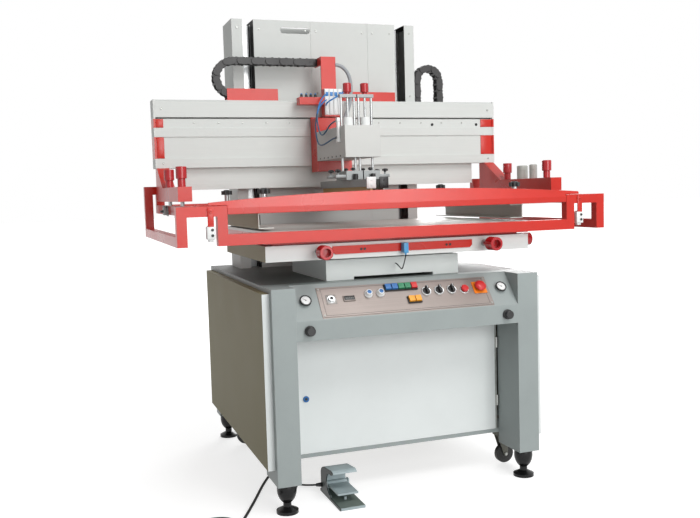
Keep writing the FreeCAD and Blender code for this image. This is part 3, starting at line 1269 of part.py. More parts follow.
def sweep(wire, radius, start, way):
    """A round tube along a wire."""
    ring = Part.Wire([Part.makeCircle(radius, start, way)])
    return wire.makePipeShell([ring], True, False)


def build_lead(label, route, diameter):
    """The stretch of a lead that lies free, as a tube with its volume tested."""
    points = route_points(route)
    wire, radii = lead_path(points)
    tube = sweep(wire, diameter / 2, points[0], points[1] - points[0])
    expected = math.pi * diameter ** 2 / 4 * wire.Length
    if abs(tube.Volume / expected - 1) > 0.01:
        raise ValueError(f"{label} has volume {tube.Volume:.0f}, not {expected:.0f}")
    print(f"{label}: {wire.Length:.0f} mm, radii", [round(radius) for radius in radii])
    keep(solid(doc.addObject("Part::Feature", "Lead"), tube), label)
    return points


def biarc(start, start_way, end, end_way):
    """Two tangent arcs between two points with given directions."""
    span = end - start
    ways = start_way + end_way
    reach = solve_reach(4.0 - ways.dot(ways), 2.0 * span.dot(ways), -span.dot(span))
    join_point = (start + end + (start_way - end_way) * reach) * 0.5
    return [half_arc(start, start_way, join_point), half_arc(end, end_way * -1, join_point, backwards=True)]


def solve_reach(a, b, c):
    """The positive root of the biarc's quadratic, whose leading term is a."""
    if abs(a) < 1e-9:
        return -c / b
    root = math.sqrt(b * b - 4 * a * c)
    return max((-b + root) / (2 * a), (-b - root) / (2 * a))


def half_arc(start, way, end, backwards=False):
    """An arc from a point with a direction to another point."""
    chord = end - start
    side = chord - way * chord.dot(way)
    radius = chord.dot(chord) / (2 * side.Length)
    side.normalize()
    centre = start + side * radius
    out = (start - centre) + (end - centre)
    middle = centre + out.normalize() * radius
    return Part.Arc(end, middle, start) if backwards else Part.Arc(start, middle, end)


def coil_place(turns, start_angle, total, centre):
    """A point of the coil: in along one layer, up where it reverses, and out along the next."""
    outer, inner = size("coil_outer_radius"), size("coil_inner_radius")
    blend, layer = size("coil_blend"), size("coil_layer")
    half = total / 2
    away = math.hypot(turns - half, blend) - blend
    radius = inner + (outer - inner) * away / (math.hypot(half, blend) - blend)
    climb = min(1.0, max(0.0, (turns - half) / 0.5 + 0.5))
    rise = layer * climb * climb * (3 - 2 * climb)
    angle = start_angle - 2 * math.pi * turns
    return centre + Vector(radius * math.cos(angle), radius * math.sin(angle), rise)


def build_coil(points):
    """The put-away length of the mains lead, as a flat coil of two layers, with its plug."""
    end = points[-1]
    way = (end - points[-2]).normalize()
    outer = size("coil_outer_radius")
    side = Vector(way.y, -way.x, 0)
    centre = end + side * outer
    start_angle = math.atan2(end.y - centre.y, end.x - centre.x)
    end_angle = math.radians(size("coil_end_degrees"))
    total = 6 + (start_angle - end_angle) / (2 * math.pi)
    lead = size("mains_diameter")

    def place(turns):
        return coil_place(turns, start_angle, total, centre)

    steps = 4 * math.ceil(total)
    marks = [total * i / steps for i in range(steps + 1)]
    spots = [place(mark) for mark in marks]
    ways = []
    for mark in marks:
        ahead, behind = min(total, mark + 0.001), max(0.0, mark - 0.001)
        ways.append((place(ahead) - place(behind)).normalize())
    ways[0], ways[-1] = way, Vector(math.sin(end_angle), -math.cos(end_angle), 0)
    arcs = []
    for i in range(steps):
        arcs += biarc(spots[i], ways[i], spots[i + 1], ways[i + 1])
    tail = spots[-1] + ways[-1] * size("coil_tail")
    edges = [arc.toShape() for arc in arcs] + [Part.LineSegment(spots[-1], tail).toShape()]
    wire = Part.Wire(edges)
    tube = sweep(wire, lead / 2, end, way)
    expected = math.pi * lead ** 2 / 4 * wire.Length
    print(f"mains_coil: {wire.Length:.0f} mm, volume ratio {tube.Volume / expected:.4f}, "
          f"gap to itself {coil_gap(place, total) - lead:.2f} mm")
    keep(solid(doc.addObject("Part::Feature", "Coil"), tube), "mains_coil")
    build_plug(tail, ways[-1])


def coil_gap(place, total):
    """The least distance between the coil's line and itself, half a turn or more apart."""
    count = int(total * 48)
    spots = [place(total * i / count) for i in range(count + 1)]
    return min((a - b).Length for i, a in enumerate(spots) for b in spots[i + 30:])


def build_plug(tail, way):
    """Moulded plug with two round pins at the far end of the mains lead."""
    body = turned("Plug", [
        ("0", "0"), ("plug_neck", "0"), ("plug_neck*1.1", "plug_length*0.3"),
        ("plug_radius", "plug_length*0.45"),
        ("plug_radius", "plug_length*0.95"), ("plug_radius*0.92", "plug_length"), ("0", "plug_length")])
    turn = Rotation(Vector(0, 0, 1), way)
    body.Placement = Placement(tail, turn)
    across = Vector(-way.y, way.x, 0)
    pins = []
    for side in (-1, 1):
        pin = doc.addObject("Part::Cylinder", "Pin")
        bind(pin, Radius="plug_pin_radius", Height="plug_pin_length + 2")
        start = tail + way * (size("plug_length") - 2) + across * (side * size("plug_pin_spread"))
        pin.Placement = Placement(start, turn)
        pins.append(pin)
    keep(join([body] + pins), "mains_plug")


def check_and_write():
    """Test every object and piece, then write one file for each piece."""
    doc.recompute()
    failed = [item.Name for item in doc.Objects if {"Invalid", "Error"} & set(item.State)]
    failed += [item.Label for item in NODES if item.Shape.isNull() or not item.Shape.isValid()]
    if failed:
        raise RuntimeError("failed: " + ", ".join(failed))
    os.makedirs("parts", exist_ok=True)
    for item in NODES:
        item.Shape.exportStep(f"parts/{item.Label}.step")
    print(len(NODES), "pieces")


fill_sheet()
build_cabinet()
build_casters()
build_door()
build_console()
build_controls()
build_regulators()
build_table()
build_column()
build_beam()
build_arms()
build_adjusters()
build_carrier()
build_channels()
build_carriage()
build_print_head()
build_blades()
build_chains()
build_pedal()
mains_points = build_lead("mains_cord", ROUTE_MAINS, size("mains_diameter"))
build_coil(mains_points)
build_lead("pedal_cord", ROUTE_PEDAL, size("pedal_lead_diameter"))
check_and_write()
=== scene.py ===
"""Looks of a flat-bed screen printing machine: finishes, fittings, leads, camera and light.

Lengths inside the classes are millimetres across, behind the cabinet's front and above the floor.
They become metres in the machine's frame where a mesh is made.
"""

import json
import logging
import math
from dataclasses import dataclass, field
from enum import Enum
from functools import cached_property
from typing import Callable, Iterable, Optional, Sequence

import bmesh
import bpy
from mathutils import Matrix, Vector

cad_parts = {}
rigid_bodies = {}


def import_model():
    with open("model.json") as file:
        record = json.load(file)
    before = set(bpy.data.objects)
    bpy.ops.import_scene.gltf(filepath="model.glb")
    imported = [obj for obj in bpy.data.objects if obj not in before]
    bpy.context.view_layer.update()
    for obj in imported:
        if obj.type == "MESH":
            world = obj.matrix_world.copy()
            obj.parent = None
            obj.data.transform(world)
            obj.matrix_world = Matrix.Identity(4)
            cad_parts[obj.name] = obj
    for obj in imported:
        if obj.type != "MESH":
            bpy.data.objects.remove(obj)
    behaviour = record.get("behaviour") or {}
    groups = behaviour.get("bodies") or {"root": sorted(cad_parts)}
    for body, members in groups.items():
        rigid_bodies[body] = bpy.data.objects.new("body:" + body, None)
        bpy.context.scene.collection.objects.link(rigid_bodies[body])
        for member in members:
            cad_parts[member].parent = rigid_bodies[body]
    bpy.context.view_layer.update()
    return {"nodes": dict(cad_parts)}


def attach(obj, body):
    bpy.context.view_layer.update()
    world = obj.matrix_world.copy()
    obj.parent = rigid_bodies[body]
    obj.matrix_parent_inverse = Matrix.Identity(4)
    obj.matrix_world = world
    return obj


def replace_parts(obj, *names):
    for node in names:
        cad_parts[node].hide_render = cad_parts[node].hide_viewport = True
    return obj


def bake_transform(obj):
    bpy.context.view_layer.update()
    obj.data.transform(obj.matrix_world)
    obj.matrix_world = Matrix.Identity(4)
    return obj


logging.basicConfig(level=logging.INFO, format="%(message)s")
log = logging.getLogger("screen_printer")

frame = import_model()
MM = 0.001
FRONT = -525.0
Pair = tuple[float, float]
Triple = tuple[float, float, float]
Colour = tuple[float, float, float, float]
Limits = tuple[Optional[float], Optional[float]]
Mesh = bmesh.types.BMesh
Socket = bpy.types.NodeSocket


class Side(Enum):
    """A side of the machine as its operator sees it, with its sign across."""

    LEFT = -1
    RIGHT = 1

    @property
    def word(self) -> str:
        """The side's word in the names of pieces."""
        return self.name.lower()


class End(Enum):
    """An end of the machine, with its word in the names of pieces."""

    FRONT = "front"
    REAR = "rear"


class Mixed(Enum):
    """What a mix node takes: its data type, its first input and its output."""

    COLOUR = ("RGBA", 6, 2)
    NUMBER = ("FLOAT", 2, 0)


class Lay(Enum):
    """How a cord lies."""

    LOOSE = "loose"
    COILED = "coiled"
    HANGING = "hanging"


class Stiffness(Enum):
    """How readily a cord bends."""

    MEDIUM = "medium"
    STIFF = "stiff"


def at(across: float, depth: float, height: float) -> Vector:
    """A point in metres, from millimetres right of the middle, behind the front and above the floor."""
    return Vector((across * MM, (depth + FRONT) * MM, height * MM))


def linear(colour: Triple) -> Colour:
    """A screen colour as the linear colour that a shader takes.

    Args:
        colour: Red, green and blue from 0 to 255.

    Returns:
        The linear colour, opaque.
    """
    def channel(value: float) -> float:
        """One channel's linear value."""
        share = value / 255.0
        return share / 12.92 if share <= 0.04045 else ((share + 0.055) / 1.055) ** 2.4
    return (*(channel(value) for value in colour), 1.0)


def scaled(colour: Colour, share: float) -> Colour:
    """A linear colour made darker or lighter."""
    return (*(min(1.0, part * share) for part in colour[:3]), 1.0)


# Finishes


class Nodes:
    """A node tree, with short ways to add nodes."""

    def __init__(self, tree: bpy.types.NodeTree) -> None:
        """Work on a tree."""
        self.tree = tree

    def feed(self, target: Socket, value: object) -> None:
        """Link a socket to another, or set its value.

        Args:
            target: The input.
            value: The output to link it to, or its value.
        """
        if isinstance(value, bpy.types.NodeSocket):
            self.tree.links.new(value, target)
        else:
            target.default_value = value

    def node(self, kind: str, inputs: dict[int | str, object], **settings: object) -> bpy.types.bpy_prop_collection:
        """Add a node.

        Args:
            kind: The node's type.
            inputs: A value or a socket for each input that isn't left as it is.
            settings: Values for its properties.

        Returns:
            Its outputs.
        """
        node = self.tree.nodes.new(kind)
        for key, value in settings.items():
            setattr(node, key, value)
        for key, value in inputs.items():
            self.feed(node.inputs[key], value)
        return node.outputs

    def math(self, operation: str, first: object, second: object = 0.0) -> Socket:
        """The result of one sum on two values or sockets."""
        return self.node("ShaderNodeMath", {0: first, 1: second}, operation=operation)[0]

    def spread(self, value: Socket, low: float, high: float, start: float = 0.3, end: float = 0.7) -> Socket:
        """A value moved from the range of the last two numbers to that of the first two."""
        return self.node("ShaderNodeMapRange", {0: value, 1: start, 2: end, 3: low, 4: high}, clamp=True)[0]

    def mix(self, share: object, first: object, second: object, kind: Mixed = Mixed.COLOUR) -> Socket:
        """One value or socket shading into another."""
        data_type, start, result = kind.value
        return self.node("ShaderNodeMix", {0: share, start: first, start + 1: second}, data_type=data_type)[result]

    def seen(self) -> Socket:
        """Tell what the eye sees, also in a mirror or through glass, from what only lights.

        Returns:
            A socket that is one for what is seen.
        """
        rays = self.node("ShaderNodeLightPath", {})
        mirrored = self.math("MAXIMUM", rays["Is Camera Ray"], rays["Is Glossy Ray"])
        return self.math("MAXIMUM", mirrored, rays["Is Transmission Ray"])


class Graph(Nodes):
    """A material's node tree, with what the finishes need."""

    def __init__(self, name: str) -> None:
        """Start a material.

        Args:
            name: The material's name.
        """
        self.material = bpy.data.materials.new(name)
        self.material.use_nodes = True
        super().__init__(self.material.node_tree)
        self.inputs = self.tree.nodes["Principled BSDF"].inputs
        self.place = self.node("ShaderNodeTexCoord", {})["Object"]

    @cached_property
    def axes(self) -> list[Socket]:
        """The place's three coordinates."""
        return list(self.node("ShaderNodeSeparateXYZ", {0: self.place}))

    def noise(self, scale: float, detail: float = 2.0, stretch: Triple = (1.0, 1.0, 1.0)) -> Socket:
        """Random values about one half, in patches per metre that are finer along some axes."""
        place = self.node("ShaderNodeMapping", {"Vector": self.place, "Scale": stretch})[0]
        return self.node("ShaderNodeTexNoise", {"Vector": place, "Scale": scale, "Detail": detail})["Fac"]

    def rounded(self, radius: float) -> Socket:
        """The surface's direction, with its edges rounded by a radius in metres."""
        return self.node("ShaderNodeBevel", {"Radius": radius}, samples=4)[0]

    def edges(self, radius: float) -> Socket:
        """A mask that is one near sharp edges and nought on flat faces.

        Args:
            radius: How near, in metres.

        Returns:
            The mask's socket.
        """
        pair = {0: self.rounded(radius), 1: self.node("ShaderNodeNewGeometry", {})["Normal"]}
        alike = self.node("ShaderNodeVectorMath", pair, operation="DOT_PRODUCT")["Value"]
        return self.spread(alike, 1.0, 0.0, 0.8, 0.985)

    def bump(self, height: Socket, depth: float, radius: float) -> None:
        """Raise the surface by a pattern, on edges rounded by a radius, both in metres."""
        lift = {"Strength": 1.0, "Distance": depth, "Height": height, "Normal": self.rounded(radius)}
        self.feed(self.inputs["Normal"], self.node("ShaderNodeBump", lift)[0])


@dataclass
class Coat:
    """What one finish gives at a point: colour, roughness, metal share and height."""

    colour: object
    roughness: object
    metallic: object
    height: Socket


@dataclass(frozen=True)
class Finish:
    """A surface with a mottled colour, a fine relief and a painted highlight: a lighter colour along its sharp edges.
    """

    name: str
    colour: Triple
    roughness: float = 0.4
    metallic: float = 0.0
    mottle: float = 0.05
    patches: float = 6.0
    relief: float = 0.00004
    grain: float = 900.0
    stretch: Triple = (1.0, 1.0, 1.0)
    # A lighter colour along sharp edges, mixed in by the share below: a painted highlight.
    edge_colour: Optional[Triple] = None
    edge_share: float = 0.35
    rounding: float = 0.0012
    soiling: float = 0.0
    shine: float = 0.5

    def coat(self, graph: Graph) -> Coat:
        """The finish's sockets in a material.

        Args:
            graph: The material.

        Returns:
            Its colour, roughness, metal share and height.
        """
        base = linear(self.colour)
        clouds = graph.noise(self.patches, 3.0)
        fine = graph.noise(self.grain, 1.0, self.stretch)
        colour = graph.mix(graph.spread(clouds, 0.0, 1.0), scaled(base, 1.0 - self.mottle),
                           scaled(base, 1.0 + self.mottle))
        if self.stretch != (1.0, 1.0, 1.0):
            colour = graph.mix(graph.spread(fine, 0.0, 0.5), colour, scaled(base, 1.0 - 2.0 * self.mottle))
        if self.soiling > 0.0:
            stain = graph.spread(graph.noise(23.0, 5.0), 0.0, self.soiling, 0.52, 0.75)
            colour = graph.mix(stain, colour, scaled(base, 0.45))
        # Painted highlight: the lighter edge colour is mixed in along sharp edges.
        if self.edge_colour is not None:
            mask = graph.math("MULTIPLY", graph.edges(self.rounding), self.edge_share)
            colour = graph.mix(mask, colour, linear(self.edge_colour))
        spread = min(0.12, 2.5 * self.mottle) * self.roughness
        roughness = graph.spread(clouds, self.roughness - spread, self.roughness + spread)
        return Coat(colour, roughness, self.metallic, fine)

    def material(self, name: str) -> bpy.types.Material:
        """A material with this finish alone."""
        return Skin(self).material(name)


@dataclass(frozen=True)
class Perforated(Finish):
    """A finish with rows of small suction holes."""

    pitch: float = 0.020
    hole: float = 0.0011

    def coat(self, graph: Graph) -> Coat:
        """The finish's sockets, with painted shade in each hole and the surface lower there.

        Args:
            graph: The material.

        Returns:
            Its colour, roughness, metal share and height.
        """
        plain = super().coat(graph)
        squares = []
        for place in graph.axes[:2]:
            cell = graph.math("FRACT", graph.math("DIVIDE", place, self.pitch))
            offset = graph.math("MULTIPLY", graph.math("SUBTRACT", cell, 0.5), self.pitch)
            squares.append(graph.math("MULTIPLY", offset, offset))
        away = graph.math("SQRT", graph.math("ADD", *squares))
        solid = graph.spread(away, 0.0, 1.0, self.hole * 0.9, self.hole * 1.1)
        # Each hole is painted near black: painted shade inside the hole.
        colour = graph.mix(solid, (0.01, 0.01, 0.01, 1.0), plain.colour)
        return Coat(colour, plain.roughness, plain.metallic, graph.math("MULTIPLY", plain.height, solid))


@dataclass(frozen=True)
class Zone:
    """A box of the machine's frame, open where a side isn't given."""

    across: Limits = (None, None)
    depth: Limits = (None, None)
    height: Limits = (None, None)

    def mask(self, graph: Graph) -> Socket:
        """One inside the box and nought outside it.

        Args:
            graph: The material.

        Returns:
            The mask's socket.
        """
        tests: list[Socket] = []
        for axis, limits in enumerate((self.across, self.depth, self.height)):
            shift = FRONT if axis == 1 else 0.0
            for test, limit in zip(("GREATER_THAN", "LESS_THAN"), limits):
                if limit is not None:
                    tests.append(graph.math(test, graph.axes[axis], (limit + shift) * MM))
        result = tests[0]
        for test in tests[1:]:
            result = graph.math("MULTIPLY", result, test)
        return result


@dataclass
class Skin:
    """One finish all over a piece, with others laid over parts of it and a clear coat over all."""

    base: Finish
    over: list[tuple[Zone, Finish]] = field(default_factory=list)
    clear: float = 0.0
    clear_roughness: float = 0.12

    def material(self, name: str) -> bpy.types.Material:
        """The finished material.

        Args:
            name: The material's name.

        Returns:
            A material with colour, roughness, metal and relief.
        """
        graph = Graph(name)
        coat, inputs = self.base.coat(graph), graph.inputs
        for zone, finish in self.over:
            mask, top = zone.mask(graph), finish.coat(graph)
            coat.colour = graph.mix(mask, coat.colour, top.colour)
            coat.roughness = graph.mix(mask, coat.roughness, top.roughness, Mixed.NUMBER)
            coat.height = graph.mix(mask, coat.height, top.height, Mixed.NUMBER)
            coat.metallic = graph.mix(mask, coat.metallic, top.metallic, Mixed.NUMBER)
        graph.feed(inputs["Base Color"], coat.colour)
        graph.feed(inputs["Roughness"], coat.roughness)
        graph.feed(inputs["Metallic"], coat.metallic)
        inputs["Specular IOR Level"].default_value = self.base.shine
        if self.clear > 0.0:
            inputs["Coat Weight"].default_value = self.clear
            inputs["Coat Roughness"].default_value = self.clear_roughness
        graph.bump(coat.height, self.base.relief, self.base.rounding)
        return graph.material


Look = Finish | Skin


class Finishes:
    """The machine's finishes."""

    # Each finish's lighter edge colour is a painted highlight along its sharp edges.
    RED = Finish("red_enamel", (196, 36, 22), 0.30, mottle=0.05, relief=0.00003, edge_colour=(232, 122, 104),
                 edge_share=0.3, soiling=0.10, shine=0.42)
    GREY = Finish("grey_enamel", (150, 158, 157), 0.42, mottle=0.035, relief=0.00004, edge_colour=(206, 210, 208),
                  edge_share=0.3, soiling=0.05, shine=0.3)
    PALE = Finish("pale_enamel", (221, 226, 225), 0.45, mottle=0.02, relief=0.00003, edge_colour=(240, 241, 240),
                  edge_share=0.3, soiling=0.02)
    COVER = Finish("cover_enamel", (200, 203, 200), 0.5, shine=0.3, mottle=0.018, relief=0.00003,
                   edge_colour=(235, 236, 233), edge_share=0.3, soiling=0.03)
    # Painted light: lighter than the column's covers, to make up for the shade under the carrier and the table.
    PEDESTAL = Finish("pedestal_enamel", (226, 230, 228), 0.5, shine=0.3, mottle=0.018, relief=0.00003,
                      edge_colour=(240, 241, 239), edge_share=0.3, soiling=0.03)
    # Dark grey: painted shade on the cabinet's deck under the table and in the beam's groove, and the plain colour of
    # the counter's wheels.
    DECK = Finish("deck_enamel", (104, 106, 104), 0.5, mottle=0.06, relief=0.00005, soiling=0.15)
    BEAM = Finish("anodised_beam", (208, 211, 208), 0.58, metallic=0.06, mottle=0.03, shine=0.25, grain=220.0,
                  stretch=(0.02, 1.0, 1.0), relief=0.00002, rounding=0.0008)
    HEAD = Finish("grey_head", (196, 198, 195), 0.52, metallic=0.08, shine=0.3, mottle=0.04, relief=0.00004,
                  edge_colour=(222, 224, 222))
    STEEL = Finish("bright_steel", (172, 174, 174), 0.3, metallic=0.9, mottle=0.06, grain=400.0)
    ZINC = Finish("zinc_plate", (170, 172, 168), 0.4, metallic=0.9, mottle=0.12, patches=60.0, soiling=0.1)
    FACE = Finish("brushed_face", (141, 132, 127), 0.4, metallic=0.45, mottle=0.06, grain=260.0,
                  stretch=(0.01, 1.0, 1.0), relief=0.00002, rounding=0.0004)
    BLACK = Finish("black_moulding", (24, 24, 25), 0.42, mottle=0.12, relief=0.00006, grain=700.0,
                   edge_colour=(70, 70, 72), edge_share=0.4)
    CHAIN = Finish("chain_moulding", (38, 37, 37), 0.5, mottle=0.15, relief=0.00006, edge_colour=(84, 83, 82))
    RUBBER = Finish("cable_rubber", (26, 26, 27), 0.55, mottle=0.12, relief=0.00005, grain=1200.0)
    TYRE = Finish("wheel_rubber", (31, 31, 30), 0.5, mottle=0.15, patches=40.0, soiling=0.3)
    BLUE = Finish("blue_cap", (6, 96, 162), 0.34, mottle=0.05, rounding=0.0008)
    GREEN = Finish("green_cap", (4, 120, 78), 0.34, mottle=0.05, rounding=0.0008)
    SIGNAL = Finish("red_cap", (200, 22, 26), 0.34, mottle=0.05, rounding=0.0008)
    YELLOW = Finish("yellow_cap", (238, 158, 6), 0.34, mottle=0.05, rounding=0.0008)
    ORANGE = Finish("orange_plate", (240, 132, 36), 0.35, mottle=0.05, rounding=0.0008)
    WHITE = Finish("white_moulding", (228, 230, 229), 0.32, mottle=0.03, rounding=0.0008)
    AIR = Finish("blue_air_tube", (28, 120, 190), 0.3, mottle=0.06)
    LOOP = Finish("dark_air_tube", (40, 84, 118), 0.3, mottle=0.08)
    BLADE = Finish("squeegee_rubber", (176, 150, 96), 0.5, mottle=0.06)
    SENSOR = Finish("sensor_blue", (72, 150, 200), 0.4, mottle=0.05, rounding=0.0008)
    CHROME = Finish("chrome_collar", (214, 216, 216), 0.22, metallic=0.55, mottle=0.03, rounding=0.0006)
    DULL = Finish("dull_nickel", (150, 146, 142), 0.5, metallic=0.3, mottle=0.05, rounding=0.0006, shine=0.3)
    # Painted shade: a dark warm brown standing for side faces in shade, on the cabinet's panels, the pedestal's left
    # face and the left channel's outer face.
    PANEL = Finish("panel_enamel", (121, 114, 85), 0.55, mottle=0.012, relief=0.00006, grain=600.0,
                   edge_colour=(196, 193, 182), edge_share=0.3, shine=0.2)
    SHADE = Finish("dark_inside", (46, 47, 47), 0.6, mottle=0.2, relief=0.00005)
    CASTER = Finish("caster_plate", (104, 104, 95), 0.42, metallic=0.3, mottle=0.12, patches=40.0,
                    edge_colour=(150, 150, 142), soiling=0.2)
    FOOT = Finish("foot_moulding", (17, 17, 18), 0.24, mottle=0.1, edge_colour=(64, 64, 66), edge_share=0.4)
    KNOB = Finish("crimson_knob", (176, 22, 30), 0.2, mottle=0.06, edge_colour=(226, 92, 96), edge_share=0.35)
    PEDAL = Finish("cast_pedal", (160, 174, 177), 0.5, metallic=0.1, mottle=0.08, patches=30.0, relief=0.0001,
                   grain=500.0, edge_colour=(186, 192, 190), soiling=0.12)
    CASTING = Finish("pedal_base", (106, 118, 112), 0.5, metallic=0.1, mottle=0.1, patches=30.0, relief=0.0001,
                     grain=500.0, edge_colour=(168, 176, 172), soiling=0.12)
    # Painted shade: the pedal's left cheek painted near black, as it faces away from the light.
    CHEEK = Finish("pedal_cheek", (50, 57, 56), 0.45, metallic=0.1, mottle=0.12, relief=0.0001, grain=500.0,
                   edge_colour=(110, 118, 114))
    CHANNEL = Finish("channel_alloy", (186, 188, 182), 0.4, metallic=0.25, mottle=0.05, grain=300.0,
                     stretch=(1.0, 0.03, 1.0), relief=0.00003)
    CLAMP = Finish("clamp_alloy", (142, 146, 146), 0.45, metallic=0.35, mottle=0.07, relief=0.00003,
                   edge_colour=(226, 227, 226))
    CONDUIT = Finish("grey_conduit", (146, 150, 154), 0.5, mottle=0.06, grain=300.0, relief=0.0002)
    BED = Perforated("suction_bed", (188, 189, 184), 0.4, metallic=0.35, mottle=0.05, grain=200.0,
                     stretch=(0.05, 1.0, 1.0))
    TABLE = Finish("ground_table", (188, 189, 184), 0.4, metallic=0.35, mottle=0.05, grain=200.0,
                   stretch=(0.05, 1.0, 1.0))


# Meshes


MACHINE = Matrix.Translation(at(0.0, 0.0, 0.0))
DOWN, UP = Vector((0.0, 0.0, -1.0)), Vector((0.0, 0.0, 1.0))
FORWARD, RIGHT = Vector((0.0, -1.0, 0.0)), Vector((1.0, 0.0, 0.0))


def link(name: str, data: bpy.types.ID) -> bpy.types.Object:
    """A new object in the scene.

    Args:
        name: Its name.
        data: What it shows.

    Returns:
        The object.
    """
    made = bpy.data.objects.new(name, data)
    bpy.context.scene.collection.objects.link(made)
    return made


def finish_piece(name: str, mesh: Mesh, look: Look, body: str, smooth: float = 35.0) -> bpy.types.Object:
    """Make a piece of a finished mesh and let it ride on a body.

    Args:
        name: The piece's name.
        mesh: Its mesh, in metres in the machine's frame.
        look: Its finish.
        body: The body that it moves with, or nothing, which leaves it on no body.
        smooth: Edges sharper than this angle stay sharp, in degrees.

    Returns:
        The piece.
    """
    bmesh.ops.recalc_face_normals(mesh, faces=mesh.faces)
    data = bpy.data.meshes.new(name)
    mesh.to_mesh(data)
    mesh.free()
    if data.has_custom_normals:
        data.attributes.remove(data.attributes["custom_normal"])
    data.polygons.foreach_set("use_smooth", [True] * len(data.polygons))
    data.set_sharp_from_angle(angle=math.radians(smooth))
    data.materials.append(look.material(name))
    piece = link(name, data)
    if body:
        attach(piece, body)
    return piece


def block(mesh: Mesh, across: Pair, depth: Pair, height: Pair, rounding: float = 0.8,
          place: Matrix = MACHINE) -> None:
    """Add a box with rounded edges.

    Args:
        mesh: Where the box goes.
        across: Its ends along the first axis, in millimetres.
        depth: Its ends along the second axis.
        height: Its ends along the third axis.
        rounding: The edges' radius in millimetres.
        place: The frame that the three axes belong to.
    """
    ends = (across, depth, height)
    middle = Vector([sum(pair) / 2.0 * MM for pair in ends])
    span = [(pair[1] - pair[0]) * MM for pair in ends]
    matrix = place @ Matrix.Translation(middle) @ Matrix.Diagonal((*span, 1.0))
    made = bmesh.ops.create_cube(mesh, size=1.0, matrix=matrix)["verts"]
    edges = {edge for vert in made for edge in vert.link_edges}
    bmesh.ops.bevel(mesh, geom=list(edges), offset=rounding * MM, segments=2, profile=0.5, affect="EDGES",
                    material=-1)


def turned(mesh: Mesh, outline: Sequence[Pair], base: Vector, axis: Vector, steps: int = 40) -> None:
    """Add a shape turned about an axis.

    Args:
        mesh: Where the shape goes.
        outline: Radius and height along the axis of each point, in millimetres.
        base: Where height nought lies, in metres.
        axis: The axis' direction.
        steps: Faces round the axis.
    """
    turn = axis.to_track_quat("Z", "Y").to_matrix().to_4x4()
    place = Matrix.Translation(base) @ turn
    verts = [mesh.verts.new(place @ Vector((radius * MM, 0.0, height * MM))) for radius, height in outline]
    edges = [mesh.edges.new(pair) for pair in zip(verts, verts[1:])]
    bmesh.ops.spin(mesh, geom=verts + edges, cent=base, axis=axis, angle=math.tau, steps=steps, use_merge=True)
    bmesh.ops.remove_doubles(mesh, verts=mesh.verts, dist=1e-6)


def turned_on(mesh: Mesh, outline: Sequence[Pair], place: Matrix, steps: int = 40) -> None:
    """Add a shape turned about a frame's third axis."""
    turned(mesh, outline, place.translation, place.to_3x3().col[2], steps)


def spun(place: Matrix, degrees: float) -> Matrix:
    """A frame turned about its own third axis."""
    return place @ Matrix.Rotation(math.radians(degrees), 4, "Z")


def screw(mesh: Mesh, base: Vector, axis: Vector, radius: float = 4.5) -> None:
    """Add a round screw head with a socket.

    Args:
        mesh: Where the head goes.
        base: The middle of its foot, in metres.
        axis: The way it faces.
        radius: Its radius in millimetres.
    """
    high = 0.6 * radius
    turned(mesh, [(0.0, 0.35 * high), (0.4 * radius, 0.35 * high), (0.42 * radius, high), (0.84 * radius, high),
                  (radius, 0.7 * high), (radius, -0.4)], base, axis, 20)


def star_knob(mesh: Mesh, base: Vector, axis: Vector, radius: float, height: float, lobes: int = 5) -> None:
    """Add a star knob with round lobes.

    Args:
        mesh: Where the knob goes.
        base: The middle of its foot, in metres.
        axis: The way it points.
        radius: Its reach in millimetres.
        height: Its height in millimetres.
        lobes: How many lobes it has.
    """
    turned(mesh, [(0.0, height * 1.05), (0.45 * radius, height), (0.72 * radius, 0.86 * height),
                  (0.72 * radius, 0.3 * height), (0.4 * radius, 0.2 * height), (0.4 * radius, -0.3)], base, axis, 30)
    side = axis.orthogonal().normalized()
    for index in range(lobes):
        way = Matrix.Rotation(math.tau * index / lobes, 3, axis) @ side
        turned(mesh, [(0.0, 0.9 * height), (0.2 * radius, 0.86 * height), (0.3 * radius, 0.72 * height),
                      (0.3 * radius, 0.4 * height), (0.2 * radius, 0.3 * height), (0.0, 0.28 * height)],
               base + way * 0.7 * radius * MM, axis, 14)


def screws(name: str, places: Iterable[Vector], axis: Vector, body: str, radius: float = 4.5,
           finish: Finish = Finishes.ZINC) -> None:
    """A set of equal screw heads as one piece.

    Args:
        name: The piece's name.
        places: Where each head stands, in metres.
        axis: The way that all of them face.
        body: The body that they move with.
        radius: Their radius in millimetres.
        finish: Their finish.
    """
    mesh = bmesh.new()
    for place in places:
        screw(mesh, place, axis, radius)
    finish_piece(name, mesh, finish, body)


def dress(node: str, look: Look) -> bpy.types.Object:
    """Give a CAD node its finish.

    Args:
        node: The node's name.
        look: Its finish.

    Returns:
        The node's object.
    """
    piece = frame["nodes"][node]
    piece.data.materials.clear()
    piece.data.materials.append(look.material(node))
    return piece


def islands(mesh: Mesh) -> list[list[bmesh.types.BMVert]]:
    """The mesh's separate pieces.

    Args:
        mesh: The mesh.

    Returns:
        The points of each piece.
    """
    left, found = set(mesh.verts), []
    while left:
        group, edge = [], [left.pop()]
        while edge:
            vert = edge.pop()
            group.append(vert)
            for side in vert.link_edges:
                other = side.other_vert(vert)
                if other in left:
                    left.discard(other)
                    edge.append(other)
        found.append(group)
    return found


def copy_of(node: str, keep: Optional[Callable[[Vector], bool]] = None) -> Mesh:
    """A node's mesh with merged points, whole or only some of its separate pieces.

    Args:
        node: The node's name.
        keep: Whether to keep the piece with a given middle, in metres.

    Returns:
        The copy.
    """
    mesh = bmesh.new()
    mesh.from_mesh(frame["nodes"][node].data)
    bmesh.ops.remove_doubles(mesh, verts=mesh.verts, dist=2e-6)
    if keep is not None:
        gone = []
        for group in islands(mesh):
            middle = sum((vert.co for vert in group), Vector()) / len(group)
            if not keep(middle):
                gone += group
        bmesh.ops.delete(mesh, geom=gone, context="VERTS")
    return mesh


# Stage


